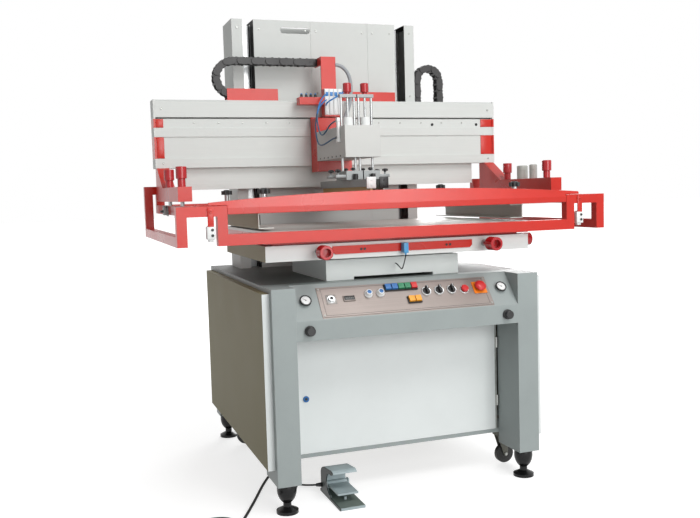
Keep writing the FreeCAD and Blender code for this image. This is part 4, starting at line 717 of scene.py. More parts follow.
@dataclass
class Studio:
    """Floor, lamps, sky and the photograph's camera."""

    eye: Triple = (-1170.0, -2682.8, 1080.6)
    yaw: float = 19.43
    pitch: float = 4.55
    roll: float = -1.66
    focal: float = 848.4
    width: float = 700.0
    sensor: float = 36.0
    clip: Pair = (0.1, 100.0)
    floor_half: float = 40.0
    floor_grey: float = 0.45
    floor_roughness: float = 0.8
    floor_light: float = 0.08
    floor_glow: float = 0.70
    floor_fade: Pair = (1.0, 3.2)
    sky_light: float = 0.33
    lamps: tuple[tuple[str, Triple, Triple, float, float], ...] = (
        ("key", (1000, -6000, 2200), (0, 400, 900), 3.6, 216.0),
        ("over", (900, -2050, 4150), (0, 100, 1050), 1.9, 84.0),
        ("rear", (2600, 5600, 2600), (0, 600, 900), 3.0, 170.0))

    def camera(self) -> None:
        """Set the camera where the photograph was taken."""
        yaw, pitch, roll = (math.radians(value) for value in (self.yaw, self.pitch, self.roll))
        ahead = Vector((math.sin(yaw) * math.cos(pitch), math.cos(yaw) * math.cos(pitch), -math.sin(pitch)))
        right = Vector((math.cos(yaw), -math.sin(yaw), 0.0))
        up = right.cross(ahead)
        side = right * math.cos(roll) + up * math.sin(roll)
        top = up * math.cos(roll) - right * math.sin(roll)
        data = bpy.data.cameras.new("photograph")
        data.sensor_fit, data.sensor_width = "HORIZONTAL", self.sensor
        data.lens = self.focal / self.width * self.sensor
        data.clip_start, data.clip_end = self.clip
        eye = link("photograph", data)
        turn = Matrix((side, top, -ahead)).transposed().to_4x4()
        eye.matrix_world = Matrix.Translation(at(*self.eye)) @ turn
        bpy.context.scene.camera = eye

    def floor(self) -> None:
        """A pale floor that keeps the machine's shadow."""
        mesh = bmesh.new()
        bmesh.ops.create_grid(mesh, x_segments=4, y_segments=4, size=self.floor_half)
        data = bpy.data.meshes.new("floor")
        mesh.to_mesh(data)
        mesh.free()
        graph = Graph("pale_floor")
        inputs = graph.inputs
        inputs["Base Color"].default_value = (*[self.floor_grey] * 3, 1.0)
        inputs["Roughness"].default_value = self.floor_roughness
        inputs["Emission Color"].default_value = (1.0, 1.0, 1.0, 1.0)
        away = graph.node("ShaderNodeVectorMath", {0: graph.place}, operation="LENGTH")["Value"]
        glow = graph.spread(away, self.floor_glow, 1.0, *self.floor_fade)
        graph.feed(inputs["Emission Strength"], graph.mix(graph.seen(), self.floor_light, glow, Mixed.NUMBER))
        data.materials.append(graph.material)
        link("floor", data)

    def sky(self) -> None:
        """A white sky for the eye and for reflections, and a soft grey one for light."""
        world = bpy.data.worlds.new("studio")
        bpy.context.scene.world = world
        world.use_nodes = True
        nodes = Nodes(world.node_tree)
        shine = nodes.tree.nodes["Background"].inputs
        shine["Color"].default_value = (1.0, 1.0, 1.0, 1.0)
        nodes.feed(shine["Strength"], nodes.spread(nodes.seen(), self.sky_light, 1.0, 0.0, 1.0))

    def lamp(self, name: str, place: Triple, aim: Triple, size: float, power: float) -> None:
        """A square soft lamp.

        Args:
            name: The lamp's name.
            place: Where it stands, in millimetres.
            aim: The point that it faces, in millimetres.
            size: Its side in metres.
            power: Its power in watts.
        """
        data = bpy.data.lights.new(name, "AREA")
        data.shape, data.size, data.energy = "SQUARE", size, power
        lamp = link(name, data)
        lamp.location = at(*place)
        lamp.rotation_euler = (at(*aim) - at(*place)).to_track_quat("-Z", "Y").to_euler()

    def build(self) -> None:
        """Set up the whole stage."""
        self.camera()
        self.floor()
        self.sky()
        for lamp in self.lamps:
            self.lamp(*lamp)
        bpy.context.scene.view_settings.view_transform = "Standard"


# Leads


@dataclass
class Cord:
    """A round lead on one smooth curve, with its points and thickness in millimetres."""

    name: str
    route: Sequence[Triple]
    diameter: float
    look: Look
    body: str
    lay: Lay = Lay.LOOSE
    stiffness: Stiffness = Stiffness.MEDIUM
    far_end: str = "object"
    stands_for: tuple[str, ...] = ()
    with_pieces: Sequence[bpy.types.Object] = ()

    def curve(self) -> tuple[bpy.types.Object, float]:
        """Lay the curve and measure it.

        Returns:
            The lead and its length in metres.
        """
        data = bpy.data.curves.new(self.name, "CURVE")
        data.dimensions, data.resolution_u = "3D", 4
        spline = data.splines.new("NURBS")
        spline.points.add(len(self.route) - 1)
        for point, place in zip(spline.points, self.route):
            point.co = (*at(*place), 1.0)
        spline.order_u, spline.use_endpoint_u = 3, True
        lead = link(self.name, data)
        bpy.context.view_layer.update()
        line = bpy.data.meshes.new_from_object(lead)
        spots = [vert.co.copy() for vert in line.vertices]
        length = sum((spots[first] - spots[second]).length for first, second in (edge.vertices for edge in line.edges))
        bpy.data.meshes.remove(line)
        data.bevel_depth, data.bevel_resolution = self.diameter * MM / 2.0, 3
        data.use_fill_caps = True
        data.materials.append(self.look.material(self.name))
        return lead, length

    def build(self) -> None:
        lead, length = self.curve()
        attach(lead, self.body)
        if self.stands_for:
            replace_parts(lead, *self.stands_for)
        at(*self.route[0])


@dataclass
class Leads:
    """The mains lead with its coil and plug, and the pedal's lead."""

    mains: tuple[Triple, ...] = (
        (-300, 650, 160), (-300, 650, 114), (-305, 626, 58), (-322, 580, 18), (-352, 528, 5.2), (-412, 452, 5.2),
        (-474, 335, 5.2), (-530, 206, 5.2), (-583, 92, 5.2), (-622, 12, 5.2), (-648, -50, 5.2))
    pedal: tuple[Triple, ...] = (
        (-402, 470, 160), (-402, 470, 120), (-403, 453, 70), (-404, 420, 30), (-401, 375, 7), (-385, 328, 4.5),
        (-360, 284, 5.5), (-335, 242, 12), (-317, 205, 22), (-296, 182, 28))
    mains_diameter: float = 10.0
    pedal_diameter: float = 7.0
    outer: float = 73.0
    inner: float = 40.0
    layer: float = 10.6
    turns: float = 6.0
    blend: float = 0.15
    ease: float = 1.008
    end_angle: float = math.radians(-65.0)
    tail: float = 38.0
    per_turn: int = 16
    pedal_gap: float = 5.0
    relief_ribs: int = 4
    relief_foot: float = 3.0
    tie_width: float = 13.0
    tie_slack: Pair = (6.4, 5.05)
    tie_wall: float = 0.8

    def relief(self, name: str, base: Triple, way: Vector, shape: Triple) -> None:
        """A ribbed, tapered sleeve where a lead leaves the machine.

        Args:
            name: The piece's name.
            base: The middle of its foot, in millimetres.
            way: The way that the lead goes.
            shape: Its radius at the foot, its radius at the end and its length, in millimetres.
        """
        wide, narrow, length = shape
        outline = [(wide * 0.4, -0.4), (wide, -0.4), (wide, self.relief_foot)]
        rib = (length - self.relief_foot) / self.relief_ribs
        for index in range(self.relief_ribs):
            low = self.relief_foot + rib * index
            radius = wide + (narrow - wide) * (index + 1) / self.relief_ribs
            outline += [(radius + 0.5, low + 0.6), (radius, low + rib - 1.2), (radius - 0.7, low + rib)]
        mesh = bmesh.new()
        turned(mesh, outline + [(narrow * 0.6, length)], at(*base), way, 28)
        finish_piece(name, mesh, Finishes.RUBBER, "machine", 50.0)

    def coil_start(self) -> tuple[Vector, Vector, Vector]:
        """Where and how the coil starts.

        Returns:
            Its first point, the way that the lead goes there and the side that its middle lies on.
        """
        last, before = Vector(self.mains[-1]), Vector(self.mains[-2])
        way = (last - before).normalized()
        return last, way, Vector((way.y, -way.x, 0.0))

    def coil(self) -> list[Triple]:
        """The coil: in along one layer, up where it reverses, and out along the next.

        Returns:
            Its points in millimetres.
        """
        last, _, side = self.coil_start()
        centre = last + side * self.outer
        start = math.atan2(last.y - centre.y, last.x - centre.x)
        total = self.turns + (start - self.end_angle) / math.tau
        half = total / 2.0
        points: list[Triple] = []
        count = int(total * self.per_turn)
        for index in range(1, count + 1):
            turns = total * index / count
            away = math.hypot(turns - half, self.blend) - self.blend
            share = away / (math.hypot(half, self.blend) - self.blend)
            radius = (self.inner + (self.outer - self.inner) * share) * self.ease
            climb = min(1.0, max(0.0, (turns - half) / 0.5 + 0.5))
            rise = self.layer * climb * climb * (3.0 - 2.0 * climb)
            angle = start - math.tau * turns
            points.append((centre.x + radius * math.cos(angle), centre.y + radius * math.sin(angle), last.z + rise))
        heading = Vector((math.sin(self.end_angle), -math.cos(self.end_angle), 0.0))
        end = Vector(points[-1])
        return points + [tuple(end + heading * self.tail * share) for share in (0.5, 1.0)]

    def tie(self) -> bpy.types.Object:
        """A strap round the coil's turns.

        Returns:
            The strap.
        """
        last, way, side = self.coil_start()
        middle = last + side * (self.outer + (self.outer + self.inner) / 2.0)
        middle.z += self.layer / 2.0
        mesh = bmesh.new()
        turn = Matrix((side, UP, way)).transposed().to_4x4()
        wide = ((self.outer - self.inner) / 2.0 + self.tie_slack[0]) * MM
        high = (self.layer / 2.0 + self.tie_slack[1]) * MM
        ring = bmesh.ops.create_circle(mesh, segments=40, radius=1.0, matrix=Matrix.Diagonal((wide, high, 1.0, 1.0)))
        for vert in ring["verts"]:
            flat = max(abs(vert.co.x) / wide, 1e-6)
            vert.co.y *= min(1.35, 1.0 / math.sqrt(max(0.2, 1.0 - 0.55 * flat * flat)))
            vert.co.y = max(-high, min(high, vert.co.y))
        swept = bmesh.ops.extrude_edge_only(mesh, edges=list(mesh.edges))["geom"]
        moved = [item for item in swept if isinstance(item, bmesh.types.BMVert)]
        bmesh.ops.translate(mesh, verts=moved, vec=UP * self.tie_width * MM)
        place = Matrix.Translation(at(*middle) - way * self.tie_width / 2.0 * MM) @ turn
        bmesh.ops.transform(mesh, matrix=place, verts=mesh.verts)
        piece = finish_piece("coil_tie", mesh, Finishes.BLACK, "machine")
        wall = piece.modifiers.new("wall", "SOLIDIFY")
        wall.thickness, wall.offset = self.tie_wall * MM, 1.0
        return piece

    def build(self) -> None:
        """Both leads, with their strain reliefs and the coil's tie."""
        plug = dress("mains_plug", Finishes.RUBBER)
        Cord("mains_lead", [*self.mains, *self.coil()], self.mains_diameter, Finishes.RUBBER, "machine", Lay.COILED,
             far_end="plug", stands_for=("mains_cord", "mains_coil"), with_pieces=[plug, self.tie()]).build()
        Cord("pedal_lead", self.pedal, self.pedal_diameter, Finishes.RUBBER, "machine",
             stands_for=("pedal_cord",)).build()
        self.relief("mains_relief", self.mains[0], DOWN, (9.4, 6.5, 25.0))
        self.relief("pedal_relief_top", self.pedal[0], DOWN, (8.0, 5.0, 22.0))
        back = (Vector(self.pedal[-2]) - Vector(self.pedal[-1])).normalized()
        self.relief("pedal_relief", tuple(Vector(self.pedal[-1]) - back * self.pedal_gap), back, (8.2, 5.8, 25.0))


# Machine


@dataclass
class Cabinet:
    """Frame, skins, door, casters and pedal."""

    lock: Pair = (-349.0, 354.0)
    lock_face: float = 151.0
    caster_across: float = 440.0
    caster_depths: Pair = (200.0, 886.0)
    trail: float = 24.0
    axle_height: float = 41.0
    fork_half: float = 17.0
    back: float = 1086.0
    panel_rows: Pair = (196.0, 713.0)
    panel_middle: float = 455.0
    panel_half: int = 405
    panel_pitch: int = 162
    hood_foot: float = 50.0
    hood_rear: float = 0.76
    hood_lean: Pair = (60.0, 130.0)
    hood_corner: Pair = (89.0, 86.0)
    hood_edge: Pair = (50.0, 104.0)

    def door_lock(self) -> None:
        """The lock's ring and key slot."""
        mesh = bmesh.new()
        across, height = self.lock
        turned(mesh, [(0.0, 1.6), (3.8, 1.6), (4.6, 1.0), (5.2, 0.2), (5.2, -0.5)],
               at(across, self.lock_face, height), FORWARD)
        block(mesh, (across - 0.7, across + 0.7), (self.lock_face - 2.0, self.lock_face - 1.2),
              (height - 3.2, height + 3.2), 0.2)
        finish_piece("lock_face", mesh, Finishes.BLACK, "cabinet_door")

    def caster(self, corner: str, place: Vector) -> None:
        """A caster's finish, with the nut and the head of its axle.

        Args:
            corner: The caster's corner in the names of pieces.
            place: The middle of its axle.
        """
        dress(f"caster_fork_{corner}", Finishes.CASTER)
        dress(f"caster_wheel_{corner}", Finishes.TYRE)
        mesh = bmesh.new()
        for way in (FORWARD, -FORWARD):
            turned(mesh, [(0.0, 5.0), (4.6, 5.0), (6.2, 4.2), (6.6, 3.4), (6.6, -0.2)],
                   place + way * self.fork_half * MM, way, 6)
        finish_piece(f"axle_nuts_{corner}", mesh, Finishes.ZINC, f"caster_fork_{corner}", 20.0)

    def pedal(self) -> None:
        """The pedal's housing, with its hood rising to a thin front edge."""
        mesh = copy_of("pedal_housing")
        start, length = self.hood_lean
        for vert in mesh.verts:
            depth = vert.co.y / MM - FRONT
            lean = 1.0 - (1.0 - self.hood_rear) * min(1.0, max(0.0, (depth - start) / length))
            vert.co.z += max(0.0, vert.co.z - self.hood_foot * MM) * (lean - 1.0)
        corner = at(0.0, *self.hood_corner)
        normal = (at(0.0, *self.hood_edge) - corner).cross(RIGHT).normalized()
        nose = [face for face in mesh.faces if face.calc_center_median().y < corner.y
                and face.calc_center_median().z > 0.6 * corner.z]
        parts = {part for face in nose for part in (*face.verts, *face.edges, face)}
        bmesh.ops.bisect_plane(mesh, geom=list(parts), dist=1e-7, plane_co=corner, plane_no=normal, clear_inner=True)
        rim = [edge for edge in mesh.edges if edge.is_boundary
               and all(abs((vert.co - corner).dot(normal)) < 1e-5 for vert in edge.verts)]
        bmesh.ops.holes_fill(mesh, edges=rim, sides=0)
        look = Skin(Finishes.PEDAL, [
            (Zone(height=(None, 9.6)), Finishes.CASTING),
            (Zone(depth=(None, -22.4)), Finishes.PEDAL),
            # The pedal's left cheek is painted dark as painted shade.
            (Zone(across=(None, -289.0)), Finishes.CHEEK)])
        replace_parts(finish_piece("pedal_shell", mesh, look, "machine"), "pedal_housing")

    def build(self) -> None:
        """Finish the cabinet's nodes and add its small fittings."""
        dress("cabinet_frame", Skin(Finishes.GREY, [
            (Zone(height=(None, 102.2)), Finishes.FOOT),
            # The deck is painted dark grey as painted shade under the table.
            (Zone(depth=(155.5, None), height=(766.5, None)), Finishes.DECK),
            (Zone(depth=(165.0, None), height=(136.0, 142.5)), Finishes.ZINC)]))
        # The panels are painted brown all over as painted shade; their pale own colour shows only on the front returns.
        dress("cabinet_panels", Skin(Finishes.PANEL, [
            (Zone(depth=(None, 28.4)), Finishes.PALE),
            (Zone(across=(-420.0, -280.0), depth=(450.0, 670.0), height=(None, 181.9)), Finishes.BLACK)]))
        dress("cabinet_door", Skin(Finishes.PALE, [
            (Zone(across=(-362, -336), depth=(None, 154.9), height=(340, 368)), Finishes.BLUE),
            (Zone(across=(405, None), depth=(None, 157)), Finishes.ZINC)]))
        dress("treadle", Finishes.PEDAL)
        self.door_lock()
        self.pedal()
        for end, depth in zip(End, self.caster_depths):
            for side in Side:
                axle = at(side.value * self.caster_across + self.trail, depth, self.axle_height)
                self.caster(f"{end.value}_{side.word}", axle)
        half, pitch = self.panel_half, self.panel_pitch
        rear = [at(across, self.back, height) for height in self.panel_rows
                for across in range(-half, half + 1, pitch)]
        rear += [at(side.value * half, self.back, self.panel_middle) for side in Side]
        screws("rear_panel_screws", rear, -FORWARD, "machine")


@dataclass
class Console:
    """Sloped panel, its gauges and its controls."""

    run: float = 95.0
    rise: float = 112.0
    apron_top: float = 655.0
    face: float = 2.0
    gauge_across: float = 372.0
    gauge_row: float = 75.0
    gauge_radius: float = 19.5
    gauge_height: float = 12.0
    needle: float = 52.0
    mark_angles: tuple[float, ...] = tuple(135.0 - 27.0 * index for index in range(11))
    jog_first: float = -64.0
    jog_row: float = 107.0
    cycle_first: float = 10.8
    cycle_row: float = 51.5
    pitch: float = 24.6
    cap: float = 21.5
    rim: float = 1.5
    dials: Pair = (-141.0, -96.5)
    dial_row: float = 87.0
    dial_height: float = 16.4
    selectors: Triple = (77.4, 127.0, 176.6)
    selector_words: tuple[str, str, str] = ("left", "middle", "right")
    selector_row: float = 82.0
    stop: Pair = (227.0, 79.5)
    key: Pair = (-279.0, 77.0)
    key_half: float = 18.5
    key_screws: float = 15.0
    key_plate: float = 1.2
    window: Pair = (-214.0, 76.0)
    wheel_pitch: float = 6.2
    border_row: float = 68.0
    border_half: Pair = (309.0, 54.0)
    border_line: float = 0.5
    plate_screws: tuple[Pair, Pair] = ((-316.0, 316.0), (15.0, 121.0))
    gloss: float = 0.12

    def frame_at(self, across: float, row: float, above: float = 0.0) -> Matrix:
        """The panel's own frame at a place on it.

        Args:
            across: Millimetres to the right of the middle.
            row: Millimetres up the slope.
            above: Millimetres out of the slope.

        Returns:
            A matrix whose axes run across, up the slope and out of it.
        """
        slant = math.hypot(self.run, self.rise)
        along = Vector((0.0, self.run / slant, self.rise / slant))
        out = Vector((0.0, -along.z, along.y))
        spot = at(across, 0.0, self.apron_top) + (along * row + out * above) * MM
        return Matrix.Translation(spot) @ Matrix((RIGHT, along, out)).transposed().to_4x4()

    def gauge(self, side: Side) -> None:
        """A pressure gauge's bezel, dial, marks and needle.

        Args:
            side: The gauge's side of the console.
        """
        place = self.frame_at(side.value * self.gauge_across, self.gauge_row, self.gauge_height)
        bezel, dial, marks = bmesh.new(), bmesh.new(), bmesh.new()
        rim = self.gauge_radius
        turned_on(bezel, [(rim - 3.2, 0.3), (rim - 2.8, 2.2), (rim - 1.4, 2.9), (rim + 0.5, 2.2), (rim + 0.9, 0.5),
                          (rim + 0.9, -4.0), (rim + 0.1, -4.6)], place, 64)
        turned_on(dial, [(0.0, 0.35), (rim - 4.0, 0.35), (rim - 3.0, 0.2), (rim - 3.0, -0.4)], place, 48)
        for index, angle in enumerate(self.mark_angles):
            long = 3.6 if index % 5 == 0 else 2.2
            block(marks, (-0.35, 0.35), (rim - 4.4 - long, rim - 4.4), (0.3, 0.55), 0.05, spun(place, angle))
        block(marks, (-0.45, 0.45), (-4.0, rim - 7.0), (0.9, 1.3), 0.1, spun(place, self.needle))
        turned_on(marks, [(0.0, 1.9), (1.4, 1.7), (1.8, 0.3)], place, 16)
        finish_piece(f"gauge_bezel_{side.word}", bezel, Finishes.BLACK, "machine")
        finish_piece(f"gauge_dial_{side.word}", dial, Finishes.WHITE, "machine")
        finish_piece(f"gauge_marks_{side.word}", marks, Finishes.BLACK, "machine")

    def button_frames(self, name: str, first: float, row: float, count: int) -> None:
        """A black frame with a window for each square button.

        Args:
            name: The piece's name.
            first: The first button's place across, in millimetres.
            row: The buttons' place up the slope.
            count: How many buttons there are.
        """
        mesh = bmesh.new()
        place = self.frame_at(first, row, self.face)
        half, bar = self.pitch / 2.0, (self.pitch - self.cap) / 2.0 - 0.35
        edge, last = half + self.rim, (count - 1) * self.pitch
        for low, high in ((-edge, -half + bar), (half - bar, edge)):
            block(mesh, (-edge, last + edge), (low, high), (-0.1, 6.2), 0.4, place)
        for index in range(count + 1):
            middle = (index - 0.5) * self.pitch
            block(mesh, (middle - bar, middle + bar), (-half, half), (-0.1, 5.6), 0.3, place)
        finish_piece(name, mesh, Finishes.BLACK, "machine")

    def marks(self) -> None:
        """Graduations round the dials and beside the selectors."""
        mesh = bmesh.new()
        for row, spots, angles, half, reach in (
                (self.dial_row, self.dials, self.mark_angles, 0.45, (15.6, 18.6)),
                (self.selector_row, self.selectors, (45.0, 0.0, -45.0), 0.6, (18.6, 22.0))):
            for across in spots:
                place = self.frame_at(across, row, self.face)
                for angle in angles:
                    block(mesh, (-half, half), reach, (-0.05, 0.14), 0.03, spun(place, angle))
        finish_piece("panel_marks", mesh, Finishes.BLACK, "machine")

    def rings(self) -> None:
        """Bright collars under the selectors, the stop button and the key switch."""
        mesh = bmesh.new()
        spots = [(across, self.selector_row, 14.3, 17.8, 5.6) for across in self.selectors]
        spots += [(*self.stop, 14.6, 17.6, 2.4), (*self.key, 11.1, 15.4, 3.0)]
        for across, row, inner, outer, high in spots:
            turned_on(mesh, [(inner, 0.0), (inner, high - 0.2), (outer - 1.4, high), (outer, high - 1.2),
                             (outer, -0.1)], self.frame_at(across, row, self.face))
        finish_piece("control_collars", mesh, Finishes.CHROME, "machine")

    def key_switch(self) -> None:
        """The key switch's square plate and its barrel with the key's slot."""
        plate, key = bmesh.new(), bmesh.new()
        place = self.frame_at(*self.key, self.face)
        span, (across, row) = (-self.key_half, self.key_half), self.key
        block(plate, span, span, (-0.1, self.key_plate), 0.5, place)
        for up in (-self.key_screws, self.key_screws):
            for aside in (-self.key_screws, self.key_screws):
                spot = self.frame_at(across + aside, row + up, self.face + self.key_plate)
                screw(plate, spot.translation, spot.to_3x3().col[2], 1.9)
        turned_on(key, [(0.0, 9.4), (5.4, 9.4), (6.0, 9.1), (6.0, 8.7)], place, 32)
        block(key, (-0.8, 0.8), (-4.4, 4.4), (9.2, 9.9), 0.2, place)
        finish_piece("key_plate", plate, Finishes.DULL, "machine")
        finish_piece("key_slot", key, Finishes.BLACK, "machine")

    def border(self) -> None:
        """The thin line printed round the face plate."""
        mesh = bmesh.new()
        place = self.frame_at(0.0, self.border_row, self.face)
        (wide, tall), line = self.border_half, self.border_line
        for sign in (-1, 1):
            block(mesh, (-wide, wide), (sign * tall - line, sign * tall + line), (-0.05, 0.12), 0.02, place)
            block(mesh, (sign * wide - line, sign * wide + line), (-tall, tall), (-0.05, 0.12), 0.02, place)
        finish_piece("panel_border", mesh, Finishes.BLACK, "machine")

    def pointers(self) -> None:
        """Caps on the dials and white lines on the selectors' grips, which turn with them."""
        for side, across in zip(Side, self.dials):
            mesh = bmesh.new()
            place = self.frame_at(across, self.dial_row, self.face + self.dial_height)
            turned_on(mesh, [(0.0, 1.5), (7.0, 1.4), (8.2, 0.8), (8.4, -0.3)], place, 32)
            block(mesh, (-0.7, 0.7), (0.5, 7.6), (1.2, 1.9), 0.2, place)
            finish_piece(f"dial_cap_{side.word}", mesh, Finishes.BLUE, f"timer_dial_{side.word}")
        for word, across in zip(self.selector_words, self.selectors):
            mesh = bmesh.new()
            place = self.frame_at(across, self.selector_row, self.face + 0.4)
            block(mesh, (-0.9, 0.9), (2.0, 13.0), (20.6, 21.6), 0.2, place)
            finish_piece(f"selector_line_{word}", mesh, Finishes.WHITE, f"selector_{word}")

    def counter(self) -> None:
        """The counter's dark window with its number wheels."""
        mesh, wheels = bmesh.new(), bmesh.new()
        place = self.frame_at(*self.window, self.face)
        block(mesh, (-19.0, 19.0), (-8.5, 8.5), (4.0, 5.8), 0.6, place)
        for index in range(-2, 3):
            middle = self.wheel_pitch * index
            block(wheels, (middle - 2.2, middle + 2.2), (-3.8, 3.8), (5.4, 6.1), 0.3, place)
        finish_piece("counter_window", mesh, Finishes.BLACK, "machine")
        finish_piece("counter_wheels", wheels, Finishes.DECK, "machine")

    def build(self) -> None:
        """Finish the console's nodes and add what is fixed to them."""
        dress("control_panel", Skin(Finishes.GREY, [
            (Zone(across=(-324.5, 324.5), depth=(2.0, 84.0), height=(658, 757)), Finishes.FACE),
            (Zone(across=(262.5, 313.5), depth=(32.5, 67.0), height=(700.8, 741)), Finishes.ORANGE),
            (Zone(across=(-291, -267), depth=(None, 53.0), height=(708, 731)), Finishes.STEEL)]))
        caps = {"jog_button_blue_left": Finishes.BLUE, "jog_button_blue_right": Finishes.BLUE,
                "jog_button_green_left": Finishes.GREEN, "jog_button_green_right": Finishes.GREEN,
                "jog_button_red": Finishes.SIGNAL, "cycle_button_left": Finishes.YELLOW,
                "cycle_button_right": Finishes.YELLOW, "stop_button": Finishes.SIGNAL,
                "emergency_stop": Finishes.SIGNAL}
        for node, finish in caps.items():
            dress(node, Skin(finish, clear=self.gloss))
        for side in Side:
            dress(f"timer_dial_{side.word}", Finishes.WHITE)
            dress(f"regulator_knob_{side.word}", Finishes.BLACK)
            self.gauge(side)
        for word in self.selector_words:
            dress(f"selector_{word}", Finishes.BLACK)
        self.button_frames("jog_frames", self.jog_first, self.jog_row, 5)
        self.button_frames("cycle_frames", self.cycle_first, self.cycle_row, 2)
        self.marks()
        self.rings()
        self.pointers()
        self.counter()
        self.key_switch()
        self.border()
        columns, rows = self.plate_screws
        places = [self.frame_at(across, row, self.face) for across in columns for row in rows]
        screws("plate_screws", [place.translation for place in places], places[0].to_3x3().col[2], "machine", 3.4)


@dataclass
class Table:
    """Pedestal, skirt, cross slide, table and knobs."""

    bed_across: Pair = (-450.0, 450.0)
    bed_depth: Pair = (105.0, 645.0)
    plate_face: float = 55.0
    plate_height: float = 882.0
    plate_bolts: tuple[float, ...] = (-162.0, -149.0, 163.0, 177.0)
    sensor: tuple[Pair, Pair, Pair] = ((-14.0, 4.0), (27.0, 55.0), (862.0, 898.0))
    lens: Triple = (-5.0, 27.0, 886.0)
    gland: Triple = (-5.0, 34.0, 862.4)
    lead_diameter: float = 4.0
    lead: tuple[Triple, ...] = (
        (-5.0, 34.0, 864.0), (-5.0, 34.0, 850.0), (-9.0, 44.0, 822.0), (-4.0, 72.0, 800.0), (4.0, 112.0, 806.0),
        (6.0, 140.0, 815.0), (6.0, 156.0, 817.0))

    def sensor_eye(self) -> None:
        """The blue sensor on the red plate, with its lead to the pedestal."""
        mesh = bmesh.new()
        block(mesh, *self.sensor, 2.0)
        turned(mesh, [(0.0, 1.6), (4.6, 1.6), (5.4, 0.9), (5.4, -0.5)], at(*self.lens), FORWARD, 24)
        turned(mesh, [(0.0, 7.0), (3.2, 7.0), (3.6, 6.0), (3.6, -0.5)], at(*self.gland), DOWN, 20)
        finish_piece("table_sensor", mesh, Finishes.SENSOR, "machine")
        Cord("sensor_lead", self.lead, self.lead_diameter, Finishes.RUBBER, "machine", Lay.HANGING).build()

    def build(self) -> None:
        """Finish the table's nodes and add its fittings."""
        # The pedestal and skirt are painted lighter, as painted light in the shadow of the carrier and the table.
        dress("table_base", Skin(Finishes.PEDESTAL, [
            # The pedestal's left face is painted brown as painted shade.
            (Zone(across=(None, -499.4)), Finishes.PANEL),
            (Zone(depth=(None, 60.5)), Finishes.STEEL),
            (Zone(across=(500.5, None)), Finishes.STEEL),
            (Zone(across=(-265.5, 265.5), depth=(None, 60.9), height=(860, 900)), Finishes.RED)]))
        dress("table_saddle", Finishes.RED)
        dress("printing_table", Skin(Finishes.TABLE, [
            (Zone(height=(None, 945.7)), Finishes.RED),
            (Zone(across=self.bed_across, depth=self.bed_depth, height=(955.4, None)), Finishes.BED)]))
        for word in ("left", "right", "side"):
            dress(f"table_knob_{word}", Finishes.KNOB)
        screws("plate_bolts", [at(across, self.plate_face, self.plate_height) for across in self.plate_bolts],
               FORWARD, "machine", 4.4, Finishes.BLACK)
        self.sensor_eye()


@dataclass
class Column:
    """Covers and lift."""

    face: float = 863.0
    back: float = 1040.0
    screw_rows: Pair = (1772.0, 1510.0)
    screw_columns: tuple[float, ...] = (-296.0, -94.0, -46.0, 166.0, 214.0, 296.0)
    edge_rows: Triple = (1776.0, 1500.0, 1160.0)
    edge: float = 390.0
    back_rows: tuple[float, ...] = (790.0, 1040.0, 1290.0, 1540.0, 1790.0)
    back_columns: Triple = (-396.0, 0.0, 396.0)

    def build(self) -> None:
        """Finish the column's node and add the covers' screws."""
        dress("column", Skin(Finishes.COVER, [
            (Zone(across=(-410.9, 410.9), depth=(865.4, 1027.0)), Finishes.SHADE),
            (Zone(depth=(907.0, 1039.0), height=(None, 762.0)), Finishes.BLACK),
            (Zone(across=(-356.0, 356.0), depth=(924.0, 943.2), height=(767.0, 1801.0)), Finishes.STEEL),
            (Zone(across=(-17.0, 17.0), depth=(956.0, 990.0), height=(767.0, 1790.0)), Finishes.STEEL)]))
        places = [at(across, self.face, height) for across in self.screw_columns for height in self.screw_rows]
        places += [at(side.value * self.edge, self.face, height) for side in Side for height in self.edge_rows]
        screws("cover_screws", places, FORWARD, "machine")
        screws("back_screws", [at(across, self.back, height) for across in self.back_columns
                               for height in self.back_rows], -FORWARD, "machine")


